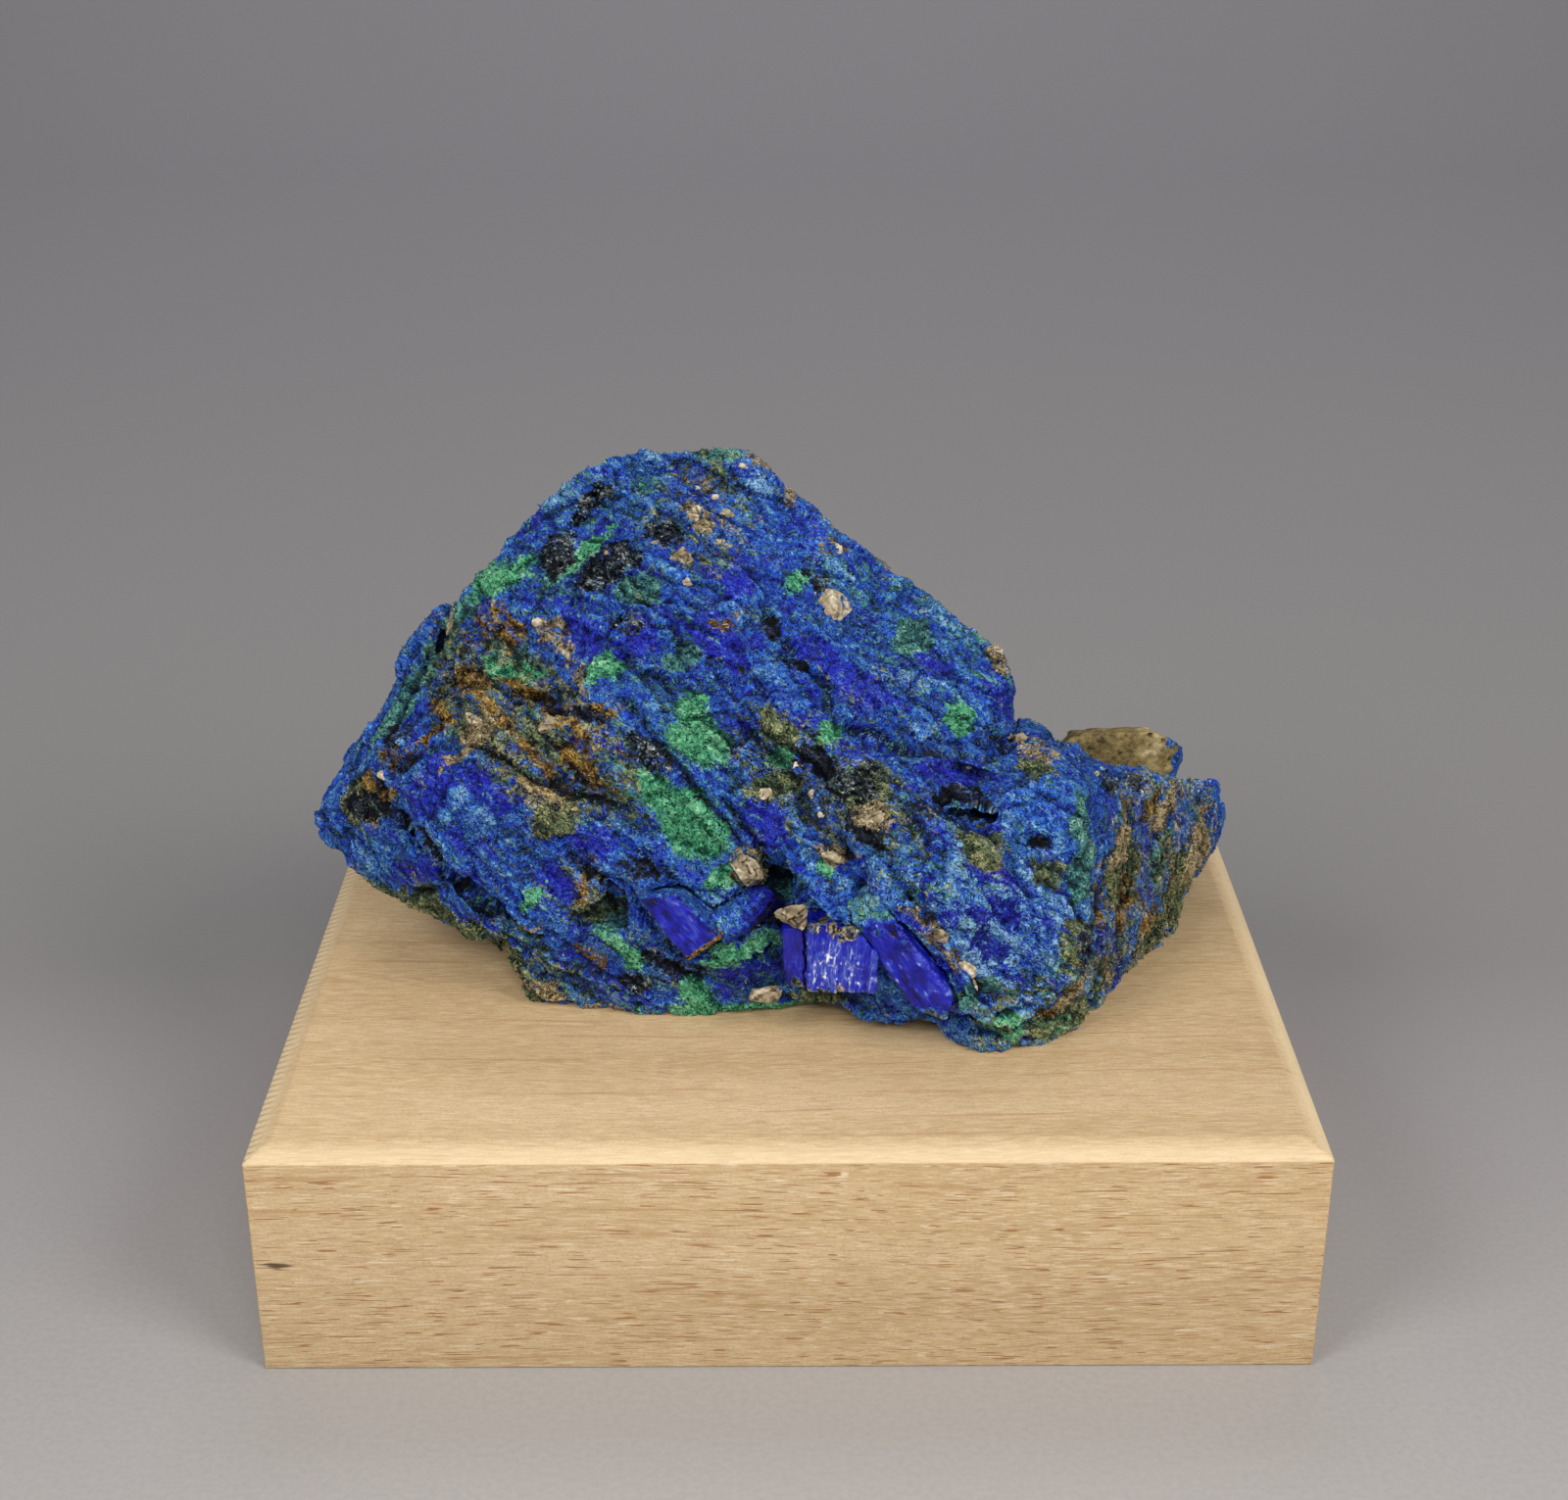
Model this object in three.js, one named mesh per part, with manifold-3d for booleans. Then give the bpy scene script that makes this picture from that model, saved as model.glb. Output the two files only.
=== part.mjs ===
// A chalcostibite specimen on its display block: a slanting mass of copper ore crusted with azurite and
// malachite, with a lump of tan host rock behind it and four larger azurite crystals in its front.
// Millimetres, +Z up. The origin is the middle of the block's underside, +X is right, -Y is the show side.
import * as THREE from "three";
import { ConvexGeometry } from "three/addons/geometries/ConvexGeometry.js";
import { ImprovedNoise } from "three/addons/math/ImprovedNoise.js";
import { TessellateModifier } from "three/addons/modifiers/TessellateModifier.js";
import { mergeVertices } from "three/addons/utils/BufferGeometryUtils.js";
import Module from "manifold-3d";

const wasm = await Module();
wasm.setup();

// --- driving dimensions -------------------------------------------------------------------------------

const BLOCK = { width: 102, depth: 76, height: 25, chamferWide: 2.3, chamferHigh: 1.2 };
const REST = BLOCK.height; // the ore's feet stand on the block's top
const GAP = 0.3; // clearance between a crystal and the socket it sits in
const FACET = 5; // longest edge of the broken surface's facets
const SPLITS = 12; // the most times that a facet is halved to reach that
const WELD = 1e-4; // corners closer than this are one corner
const ROUGHNESS = { size: 0.75, spacing: 7 }; // lumps of the broken surface
const GRAIN = { size: 0.55, spacing: 5.5, along: 26 }; // long ribs of the slanting slabs
const GRAIN_SLOPE = THREE.MathUtils.degToRad(-40); // the slabs run down to the right
const STRIATION = { first: 3, last: 8.4, pitch: 0.9, halfWide: 0.28, deep: 0.5 }; // grooves of the crystal

// --- solids ---------------------------------------------------------------------------------------------

function toManifold(geometry) {
  geometry.deleteAttribute("normal");
  geometry.deleteAttribute("uv");
  const merged = mergeVertices(geometry, WELD);
  return new wasm.Manifold(new wasm.Mesh({
    numProp: 3,
    vertProperties: new Float32Array(merged.attributes.position.array),
    triVerts: new Uint32Array(merged.index.array),
  }));
}

function toGeometry(solid) {
  const mesh = solid.getMesh();
  const geometry = new THREE.BufferGeometry();
  geometry.setAttribute("position", new THREE.BufferAttribute(mesh.vertProperties, 3));
  geometry.setIndex(new THREE.BufferAttribute(mesh.triVerts, 1));
  return geometry;
}

function hull(points) {
  return toManifold(new ConvexGeometry(points.map((p) => new THREE.Vector3(...p))));
}

function boxCorners(low, high) {
  return [low[0], high[0]].flatMap((x) => (
    [low[1], high[1]].flatMap((y) => [low[2], high[2]].map((z) => [x, y, z]))
  ));
}

// The same corners pushed out all round, which makes the socket that the hull sits in.
function grownHull(points, grow) {
  const moved = (point, by) => point.map((value) => value + by);
  return hull(points.flatMap((point) => boxCorners(moved(point, -grow), moved(point, grow))));
}

// The one main body of a solid, without crumbs that a cut has freed or bubbles closed in between lumps.
function mainBody(solid) {
  const bodies = solid.decompose();
  return bodies.reduce((best, body) => (body.volume() > best.volume() ? body : best));
}

// A flat-backed slab: its front outline, and the same outline moved back and shrunk about its middle.
function slab(outline, back, shrink = 0.85) {
  const middle = [0, 1, 2].map((axis) => outline.reduce((sum, p) => sum + p[axis], 0) / outline.length);
  const rear = outline.map((p) => p.map((value, axis) => (
    middle[axis] + (value - middle[axis]) * shrink + back[axis]
  )));
  return [...outline, ...rear];
}

// A crack: a chain of wedges along a route, wide at the surface and sharp inside the rock.
function crack(route, width, deep) {
  const cuts = [];
  for (let i = 0; i + 1 < route.length; i += 1) {
    const ends = [route[i], route[i + 1]];
    const corners = [];
    for (const [x, y, z] of ends) {
      corners.push([x, y - deep, z + width], [x, y - deep, z - width], [x, y + deep, z]);
      corners.push([x - width, y - deep, z], [x + width, y - deep, z]);
    }
    cuts.push(hull(corners));
  }
  return wasm.Manifold.union(cuts);
}

// --- the broken surface ---------------------------------------------------------------------------------

const perlin = new ImprovedNoise();

function noiseVector(x, y, z) {
  return new THREE.Vector3(
    perlin.noise(x + 11.3, y + 4.1, z + 7.7),
    perlin.noise(x + 31.9, y + 17.2, z + 2.4),
    perlin.noise(x + 5.6, y + 41.8, z + 23.5),
  );
}

// Shifts a point by lumps of one size and by ribs that run along the slabs.
function weathered(point) {
  const lumps = noiseVector(
    point.x / ROUGHNESS.spacing, point.y / ROUGHNESS.spacing, point.z / ROUGHNESS.spacing,
  ).multiplyScalar(2 * ROUGHNESS.size);
  const along = point.x * Math.cos(GRAIN_SLOPE) + point.z * Math.sin(GRAIN_SLOPE);
  const across = point.z * Math.cos(GRAIN_SLOPE) - point.x * Math.sin(GRAIN_SLOPE);
  const ribs = noiseVector(
    along / GRAIN.along, point.y / GRAIN.spacing, across / GRAIN.spacing,
  ).multiplyScalar(2 * GRAIN.size);
  return point.clone().add(lumps).add(ribs);
}

function weather(solid) {
  const faceted = new TessellateModifier(FACET, SPLITS).modify(toGeometry(solid).toNonIndexed());
  const position = faceted.attributes.position;
  const point = new THREE.Vector3();
  for (let i = 0; i < position.count; i += 1) {
    point.fromBufferAttribute(position, i);
    position.setXYZ(i, ...weathered(point).toArray());
  }
  return toManifold(faceted);
}

// --- the ore mass: its main lumps, as corner points -----------------------------------------------------

const CORE = [
  [-34, 4, 52], [-30, 18, 50], [-12, 22, 66], [4, 20, 62], [22, 14, 46], [26, 20, 34],
  [-38, 10, 40], [-30, 14, 28], [-22, -6, 28], [-20, -9, 50], [6, -8, 50], [26, -8, 44],
  [28, -12, 28], [20, 20, 26], [-10, 24, 27], [8, -12, 28],
];

const SUMMIT = [
  [-35, 4, 60], [-33.5, 5, 63], [-31, 6.5, 66], [-27.8, 7.5, 71], [-25.2, 8.5, 73.3], [-19.5, 10, 76.3],
  [-14.5, 11, 78], [-8, 12, 77.5], [-3.5, 12, 76], [-0.5, 12, 73.5],
  [-34, -1, 57], [-29.5, -3.5, 58], [-19.5, -6.5, 58], [-14.5, -8, 56.5], [2, -3, 60],
  [-34, 10, 50], [-31, 18, 56], [-15, 24, 66], [1, 23, 64], [4, 8, 50],
];

const SHOULDER = [
  [-0.5, 12, 73.5], [2.5, 11, 70.5], [7, 9, 67.5], [12, 7, 63.5], [18, 5, 60], [22.5, 3, 58],
  [23.7, 2, 55], [24.3, 2, 50], [-4, -5, 60], [6, -6, 57], [12, -7.5, 51], [20, -6.5, 50],
  [1, 23, 64], [13, 21, 53], [23, 15, 46], [0, 0, 48],
];

const MIDDLE = [
  [-20, -6.5, 58.5], [-14, -8.5, 57], [6, -7, 57], [8, -9.5, 52], [3, -12, 47], [-6, -13, 45.5],
  [-16, -12.5, 48.5], [-24, -9, 52.5], [-6, -12, 34], [-20, -12, 34], [-28, -5, 36], [10, -8, 34],
  [-28, 2, 54], [8, 4, 56],
];

const LEFT_LOBE = [
  [-49.5, 1, 42], [-49, 0, 39], [-46.5, -1, 36.5], [-46.5, 1.5, 45.5], [-44, 1.5, 49], [-40.5, 2, 53.5],
  [-36, -2, 55.5], [-36.5, 6, 57.5], [-34, 12, 59], [-30, -4, 57], [-41, -4, 47.5], [-28, -9, 50],
  [-30, -10, 38], [-42.5, -2, 33],
  [-37, -4, 31], [-30, -5, 28], [-46, 9, 42], [-42, 14, 50], [-43, 12, 36], [-32, 18, 46], [-30, 14, 32],
];

const FLANK_SLIVER = [
  [-36.6, 3, 62.4], [-35.4, 3, 61.8], [-36.2, 9, 61], [-40.3, 3, 56.5], [-41, 3, 52], [-41, 10, 52],
  [-36.5, 3, 56], [-37, 12, 54], [-38, 1.5, 53],
];

const EYE_BLOCK = slab([
  [-40.5, -5.5, 47.8], [-36.5, -7.5, 52], [-31, -8.5, 54], [-27, -9.5, 52.5], [-23.3, -11, 50],
  [-19.4, -12.5, 46.4], [-15.5, -14, 42.8], [-19.5, -15.2, 39], [-23.6, -14.8, 35], [-29.4, -13.6, 38.8],
  [-34.4, -11.6, 41.5], [-38.8, -8.4, 45.4], [-30.5, -12.8, 48],
], [2, 9, -1]);

const OCHRE_RIDGE = slab([
  [-46.5, -0.5, 45.5], [-42.5, -2.5, 51], [-34.5, -3.5, 57], [-29.5, -5, 58.5], [-24, -7, 56.5],
  [-16, -10.5, 51.5], [-18.5, -10.5, 50], [-27, -8.5, 53.5], [-31.5, -7, 55], [-38, -5.5, 51.5],
], [1, 8, -3]);

const LOWER_LEFT_BLOCK = slab([
  [-47, -2.5, 37.5], [-44, -4, 43], [-40.5, -7, 43.5], [-37.5, -9, 41.5], [-31.7, -12, 37],
  [-27.8, -12.6, 33.2], [-33, -9.5, 31], [-38, -6.2, 32], [-43, -3.2, 33.3],
], [3, 10, 1]);

const LEFT_FOOT = [
  [-28, -11.5, 33], [-23.5, -14.6, 36.4], [-15.6, -15.6, 34.8], [-9.8, -15.8, 31.5], [-4, -14.6, 31],
  [-0.5, -13.6, 30], [-25, -11.6, 24], [-16, -12.3, 24], [-8, -12.8, 24], [-1, -11.5, 24], [5, -9.5, 24],
  [-29.5, -8, 28], [-26, 3, 24], [0, 6, 24], [4, 0, 38], [-28, 2, 38],
];

const MIDDLE_SLAB = slab([
  [-19.4, -13, 46.5], [-14.5, -11.5, 50.3], [-9.7, -12.8, 45], [-4.8, -14.3, 41], [-1.9, -14, 38],
  [-0.9, -14.3, 34], [-5, -15.6, 33], [-15.6, -15.6, 35.5], [-16.5, -14.8, 40.5],
], [1, 8, -2]);

const MALACHITE_SLAB = slab([
  [-17.5, -10, 51.5], [-14, -10, 55], [-9.5, -9.5, 55], [-7, -11, 50], [-4.5, -13, 44.5],
  [-7, -13.5, 43], [-11, -12.5, 46.5],
], [2, 7, -1]);

const GREEN_LEDGE = slab([
  [-10.8, -16.8, 32.4], [-9.7, -17, 35], [-1.9, -15.8, 36.2], [-0.9, -15.8, 34.3], [-5.8, -16.8, 31.9],
], [1, 6, 0]);

const ARM = slab([
  [-4.2, -11.6, 48.2], [0.3, -13.6, 48.2], [6.1, -17.2, 42.2], [7.9, -18.6, 39.7], [4, -18.2, 39],
  [-2.9, -12.6, 44.9],
], [2, 8, 2]);

const RIGHT_BLOCK = [
  [2, -12, 48], [6, -10, 53], [12, -10.5, 52.5], [20, -9.5, 51.5], [26, -7.5, 50.5], [31, -8, 48.5],
  [30.5, -14, 41], [30.2, -16.5, 35], [30.2, -17, 27], [27.5, -18.6, 24.5], [19.5, -19.6, 24.5],
  [16, -20.2, 26], [16, -22.2, 31], [10.5, -21.5, 34], [19, -20.5, 43], [9, -18, 44.5],
  [30, 6, 47], [30, 8, 24], [12, 6, 24], [4, 4, 46], [8, -8, 36],
];

const RIGHT_SLAB = slab([
  [12.5, -20.5, 43.5], [18.5, -18, 47], [27, -14.5, 44.5], [28.5, -18.5, 33], [22, -23, 28.5],
  [16.5, -24, 31],
], [0, 8, 1], 0.9);

const LOWER_MIDDLE = [
  [-1.5, -13, 38], [1, -14.5, 39], [8, -17, 40.5], [10.2, -19.2, 33], [15.6, -20.6, 30], [14, -19, 26.5],
  [8, -15, 26], [4, -11, 25.5], [0, -13, 27.5], [-2, -12.5, 30], [-2, 0, 30], [10, 0, 28], [8, -4, 40],
];

const NOSE = [
  [14.5, -18.5, 25.5], [18, -20.8, 28], [24, -21.2, 28], [29.5, -18, 27], [30, -15.5, 24.5], [27, -19, 24],
  [19.5, -20.3, 24], [16, -12, 24], [28, -12, 24],
];

const PLATES = [
  [8, -16.8, 28.4], [13.5, -19.8, 28.4], [19, -20.8, 27.6], [18.6, -20.2, 26.4], [12.8, -19.2, 26.9],
  [8, -16.6, 26.6], [10, -12, 27], [18, -12, 27],
];

const TAIL = [
  [30.5, -8, 48.5], [29.7, -16.4, 27], [29, -15.5, 24], [34, -8, 24], [41, 3, 24], [44.3, 7.5, 26.5],
  [47.6, 14, 31], [47.6, 14.5, 38.2], [42.5, 9, 40.2], [37, 2, 42], [45.5, 21, 34], [42, 24, 26],
  [24, 26, 26], [25, 24, 38], [26, 8, 47], [24, -10, 44],
];

const SMALL_LUMP = [
  [25, 11, 45.5], [27.5, 12, 45.5], [30.5, 14, 43], [30, 18, 42], [25, 19, 44], [24, 12, 40], [31, 16, 38],
];

const BACK = [
  [-40, 12, 48], [-36, 18, 40], [-30, 17, 58], [-15, 22, 68], [1, 22.5, 65], [14, 21.5, 54], [22, 17, 47],
  [-24, 25, 36], [4, 26, 34], [20, 25, 34], [-30, 18, 27], [-8, 25, 24], [18, 24, 24], [-20, 6, 24],
  [26, 18, 38], [-2, 12, 72],
];

// The hidden side broke along the same slanting slabs, so it steps down from one to the next.
const BACK_SLABS = [
  slab([
    [-37, 18.5, 46], [-30, 20.5, 56], [-18, 24.5, 63], [-6, 26.5, 56], [-12, 27.5, 48], [-26, 24, 42],
  ], [1, -8, 0]),
  slab([
    [-22, 27, 44], [-10, 28, 50], [8, 26.5, 56], [16, 25.5, 48], [6, 28.5, 38], [-12, 29, 34],
  ], [0, -8, 1]),
  slab([
    [-30, 21, 37], [-20, 25.5, 41], [-6, 28, 35], [-4, 27.5, 27], [-16, 26, 25.5], [-28, 21, 28],
  ], [0, -8, 1]),
  slab([
    [6, 28.5, 42], [16, 27.5, 46], [25, 24, 42], [27, 24.5, 32], [16, 28, 28], [5, 29, 32],
  ], [0, -8, 1]),
];

// --- cuts into the ore mass -------------------------------------------------------------------------------

const FLANK_NOTCH = [
  [-36.2, -4, 64], [-34.2, -4, 64], [-35.4, -4, 59.5], [-36.2, 14, 64], [-34.2, 14, 64], [-35.4, 14, 60.5],
];

const MIDDLE_RECESS = [
  [-3.5, -24, 41.5], [2.2, -24, 41], [2.2, -24, 37.5], [-3, -24, 36.5], [-2, -8, 41], [1, -8, 40.5],
  [1, -8, 38], [-2, -8, 38],
];

const TAIL_VALLEY = [
  [31, 6, 46], [44, 12.5, 42], [33, 17.5, 38], [44, 17.5, 37.5], [31, 17.5, 52], [46, 17.5, 52],
];

const UPPER_CAVITY = [
  [15, -16, 49], [21, -15, 48.5], [20, -16, 46], [15.5, -17, 46], [16, -7, 48.5], [20, -7, 48],
];

const SIDE_CAVITY = [
  [24, -14, 46], [27, -13, 45.5], [26.5, -14, 44], [24.5, -14, 44.5], [25.5, -7, 45.5],
];

const CAVITIES = [
  [[5, -22, 46], [9, -22, 45], [8, -22, 42.5], [5.5, -22, 43], [6.5, -12, 44.5]],
  [[-30, -11, 58.5], [-25, -12, 58], [-26, -12, 55.5], [-31, -10, 56], [-28, -2, 56.5]],
  [[0, -12, 66], [3, -12, 66], [4, -12, 60], [1, -12, 60], [2.5, -1, 63]],
];

const CRACKS = [
  // under the eye block
  { route: [
    [-43, -4, 47.5], [-39.5, -7.5, 44.2], [-34.5, -11.5, 40.6], [-30, -13.5, 37.4], [-23.8, -14.8, 34],
  ], width: 0.9, deep: 2.4 },
  // above the eye block
  { route: [[-41, -5, 49.5], [-36.5, -7, 53.5], [-30, -8.5, 55.2], [-22, -11.5, 51.5], [-14, -14.5, 46]],
    width: 0.8, deep: 2 },
  // the foot of the upper face
  { route: [[-14, -9, 56.5], [-9, -11, 51], [-3.5, -13, 46]], width: 0.7, deep: 1.8 },
  // the step over the right block
  { route: [[1, -8, 58.5], [7, -9, 55.5], [12, -9.5, 51.8], [20, -8.5, 50.5], [26.5, -5, 50.5]],
    width: 0.9, deep: 2.2 },
  // down the right block, beside its raised slab
  { route: [[3, -14, 46.5], [9.5, -19, 42.5], [13.5, -21.5, 37.5], [18, -24, 30]], width: 0.8, deep: 2 },
  // between the nose and the plates over it
  { route: [[13, -20.5, 27.2], [20, -23, 28.5], [29, -19.5, 28]], width: 0.6, deep: 1.6 },
];

// --- pieces that sit in sockets of the ore mass -----------------------------------------------------------

const MATRIX_LUMP = [
  [30.2, 17, 41.2], [32.2, 18, 42.6], [41, 18.2, 42.6], [43.8, 19, 40.6], [44.8, 20, 37.6], [44, 19, 33],
  [33, 17.6, 33], [30.6, 17.2, 37], [32.5, 27, 39], [41, 27.5, 39], [45, 26, 36], [43, 27, 32],
  [33, 26, 32], [45.4, 22.5, 38.6],
];

const STRIATED_BODY = [
  [2.2, -18.6, 38], [6.7, -20, 38.4], [8.6, -20.8, 36.2], [8.5, -20.8, 32.2], [2.2, -19.2, 31.3],
  [2, -12, 37.5], [6.5, -13.5, 37.8], [8.4, -13.5, 33], [2.2, -12, 31.8],
];

const STRIATED_PANEL = [
  [-0.4, -16.8, 36.8], [1.9, -18.2, 37.8], [1.9, -18.6, 31.4], [0, -17.2, 31.2], [0, -12, 36.8],
  [2.4, -12, 37.4], [2.4, -12, 31.9], [0.2, -12, 31.8],
];

const LONG_CRYSTAL = [
  [6, -18.8, 40.3], [7.8, -19.3, 41.7], [9.5, -19.8, 40.6], [15.9, -22.9, 32.7], [15.4, -22.9, 30.3],
  [12.6, -22, 30.9], [6.9, -19.8, 38.9], [7.8, -14, 40.5], [15.5, -16, 33], [12.6, -15, 31.5],
  [7.6, -14, 39],
];

const BLADE_CRYSTAL = [
  [-14.4, -17, 40.6], [-11, -17.4, 41.1], [-6.6, -18.4, 36.9], [-9.8, -18.4, 34.4], [-13.2, -10, 38],
  [-9.6, -10, 38.2], [-5.8, -11, 35], [-9.4, -11, 33],
];

const WEDGE_CRYSTAL = [
  [-7.9, -16.4, 37.7], [-3.8, -15.8, 40.1], [-2.1, -17.2, 41.2], [-6.1, -18, 36.1], [-0.4, -15.2, 38.9],
  [-4.6, -16, 36.3], [-7.2, -10, 35.8], [-3, -10, 38.2], [-0.6, -10, 37], [-4.8, -10, 34.6],
];

// --- the pieces -------------------------------------------------------------------------------------------

function displayBlock() {
  const halfWidth = BLOCK.width / 2;
  const halfDepth = BLOCK.depth / 2;
  const topHalfWidth = halfWidth - BLOCK.chamferWide;
  const topHalfDepth = halfDepth - BLOCK.chamferWide;
  const shoulder = BLOCK.height - BLOCK.chamferHigh;
  return hull([
    ...boxCorners([-halfWidth, -halfDepth, 0], [halfWidth, halfDepth, shoulder]),
    ...boxCorners([-topHalfWidth, -topHalfDepth, shoulder], [topHalfWidth, topHalfDepth, BLOCK.height]),
  ]);
}

function oreMass() {
  const lumps = [
    CORE, SUMMIT, SHOULDER, MIDDLE, LEFT_LOBE, FLANK_SLIVER, EYE_BLOCK, OCHRE_RIDGE, LOWER_LEFT_BLOCK,
    LEFT_FOOT, MIDDLE_SLAB, MALACHITE_SLAB, GREEN_LEDGE, ARM, RIGHT_BLOCK, RIGHT_SLAB, LOWER_MIDDLE,
    NOSE, PLATES, TAIL, SMALL_LUMP, BACK, ...BACK_SLABS,
  ].map(hull);
  const cuts = [FLANK_NOTCH, MIDDLE_RECESS, TAIL_VALLEY, UPPER_CAVITY, SIDE_CAVITY, ...CAVITIES].map(hull);
  const cracks = CRACKS.map(({ route, width, deep }) => crack(route, width, deep));
  const broken = mainBody(wasm.Manifold.union(lumps).subtract(wasm.Manifold.union([...cuts, ...cracks])));
  const sockets = [MATRIX_LUMP, STRIATED_BODY, STRIATED_PANEL, LONG_CRYSTAL, BLADE_CRYSTAL, WEDGE_CRYSTAL]
    .map((points) => grownHull(points, GAP));
  const aboveBlock = hull(boxCorners(
    [-BLOCK.width, -BLOCK.depth, REST], [BLOCK.width, BLOCK.depth, REST + BLOCK.width],
  ));
  return mainBody(weather(broken).intersect(aboveBlock).subtract(wasm.Manifold.union(sockets)));
}

function matrixLump() {
  return weather(hull(MATRIX_LUMP)).intersect(hull(MATRIX_LUMP));
}

// Upright ridges down the slanting front face of the striated crystal.
function striatedCrystal() {
  const [frontX, frontY] = STRIATED_BODY[4];
  const slope = (STRIATED_BODY[3][1] - frontY) / (STRIATED_BODY[3][0] - frontX);
  const { first, last, pitch, halfWide, deep } = STRIATION;
  const grooves = [];
  for (let x = first; x < last; x += pitch) {
    const face = frontY + (x - frontX) * slope;
    const outline = (z) => [[x - halfWide, face - 1, z], [x + halfWide, face - 1, z], [x, face + deep, z]];
    grooves.push(hull([...outline(30), ...outline(41)]));
  }
  return hull(STRIATED_BODY).add(hull(STRIATED_PANEL)).subtract(wasm.Manifold.union(grooves));
}

// The long crystal grew past the striated one and stops just short of it.
function longCrystal() {
  return hull(LONG_CRYSTAL).subtract(grownHull(STRIATED_BODY, GAP));
}

// The wedge stops just short of the blade crystal beside it.
function wedgeCrystal() {
  return hull(WEDGE_CRYSTAL).subtract(grownHull(BLADE_CRYSTAL, GAP));
}

const group = new THREE.Group();

function addPiece(name, solid, color, roughness) {
  const material = new THREE.MeshStandardMaterial({ color, roughness, metalness: 0, flatShading: true });
  const mesh = new THREE.Mesh(toGeometry(solid), material);
  mesh.name = name;
  group.add(mesh);
}

addPiece("display_block", displayBlock(), 0xc9ab80, 0.6);
addPiece("ore_mass", oreMass(), 0x305093, 0.85);
addPiece("matrix_lump", matrixLump(), 0x7a6c4d, 0.95);
addPiece("striated_crystal", striatedCrystal(), 0x5d689e, 0.3);
addPiece("long_crystal", longCrystal(), 0x38408b, 0.4);
addPiece("blade_crystal", hull(BLADE_CRYSTAL), 0x293796, 0.45);
addPiece("wedge_crystal", wedgeCrystal(), 0x2b4077, 0.6);

export default group;
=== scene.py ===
"""A chalcostibite specimen grown over with azurite and malachite, on its wooden display block.

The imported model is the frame. Every piece below is made on top of it, in metres, in the same places.
"""

import math

import bpy
import numpy as np
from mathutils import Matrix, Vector


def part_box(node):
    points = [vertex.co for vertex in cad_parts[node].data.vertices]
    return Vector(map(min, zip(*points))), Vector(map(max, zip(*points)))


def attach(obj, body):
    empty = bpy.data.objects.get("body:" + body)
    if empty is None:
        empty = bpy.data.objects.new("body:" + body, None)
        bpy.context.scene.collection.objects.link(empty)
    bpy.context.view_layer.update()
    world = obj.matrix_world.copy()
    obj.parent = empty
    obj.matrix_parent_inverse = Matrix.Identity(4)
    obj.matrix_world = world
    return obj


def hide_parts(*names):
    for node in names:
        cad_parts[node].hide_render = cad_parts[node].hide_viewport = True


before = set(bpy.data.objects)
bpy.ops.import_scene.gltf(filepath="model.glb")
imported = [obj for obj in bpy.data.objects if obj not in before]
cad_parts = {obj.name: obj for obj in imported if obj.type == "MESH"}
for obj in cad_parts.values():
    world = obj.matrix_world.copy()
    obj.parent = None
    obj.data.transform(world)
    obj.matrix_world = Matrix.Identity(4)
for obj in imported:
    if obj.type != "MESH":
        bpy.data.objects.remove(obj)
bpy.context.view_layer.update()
scene = bpy.context.scene
scene.view_settings.view_transform = "Standard"

MM = 0.001

# How wide the mesh faces are, in mm, on the ore, the lump, the chips and the crystals.
ORE_MESH, LUMP_MESH, CHIP_MESH, CRYSTAL_MESH = ((0.42, 0.24, 0.13, 0.1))

# The show side is looked at from a little above the horizon, along +Y.
SHOW_TILT = math.radians(24.5)
SHOW_UP = np.array((0, math.sin(SHOW_TILT), math.cos(SHOW_TILT)))
SHOW_IN = np.array((0, math.cos(SHOW_TILT), -math.sin(SHOW_TILT)))

# The blades of the ore run from upper left to lower right, but along the left flank they run
# up to the right, and on the wall at the right end they stand nearly upright.
GRAIN_ANGLE = math.radians(-40)
FLANK_ANGLE = math.radians(58)
WALL_ANGLE = math.radians(82)


# ---- small helpers ----


def linear(hex_colour):
    """A #rrggbb colour as the linear values that a shader takes."""
    parts = [int(hex_colour[i : i + 2], 16) / 255 for i in (1, 3, 5)]
    return tuple(p / 12.92 if p <= 0.04045 else ((p + 0.055) / 1.055) ** 2.4 for p in parts) + (1,)


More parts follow.
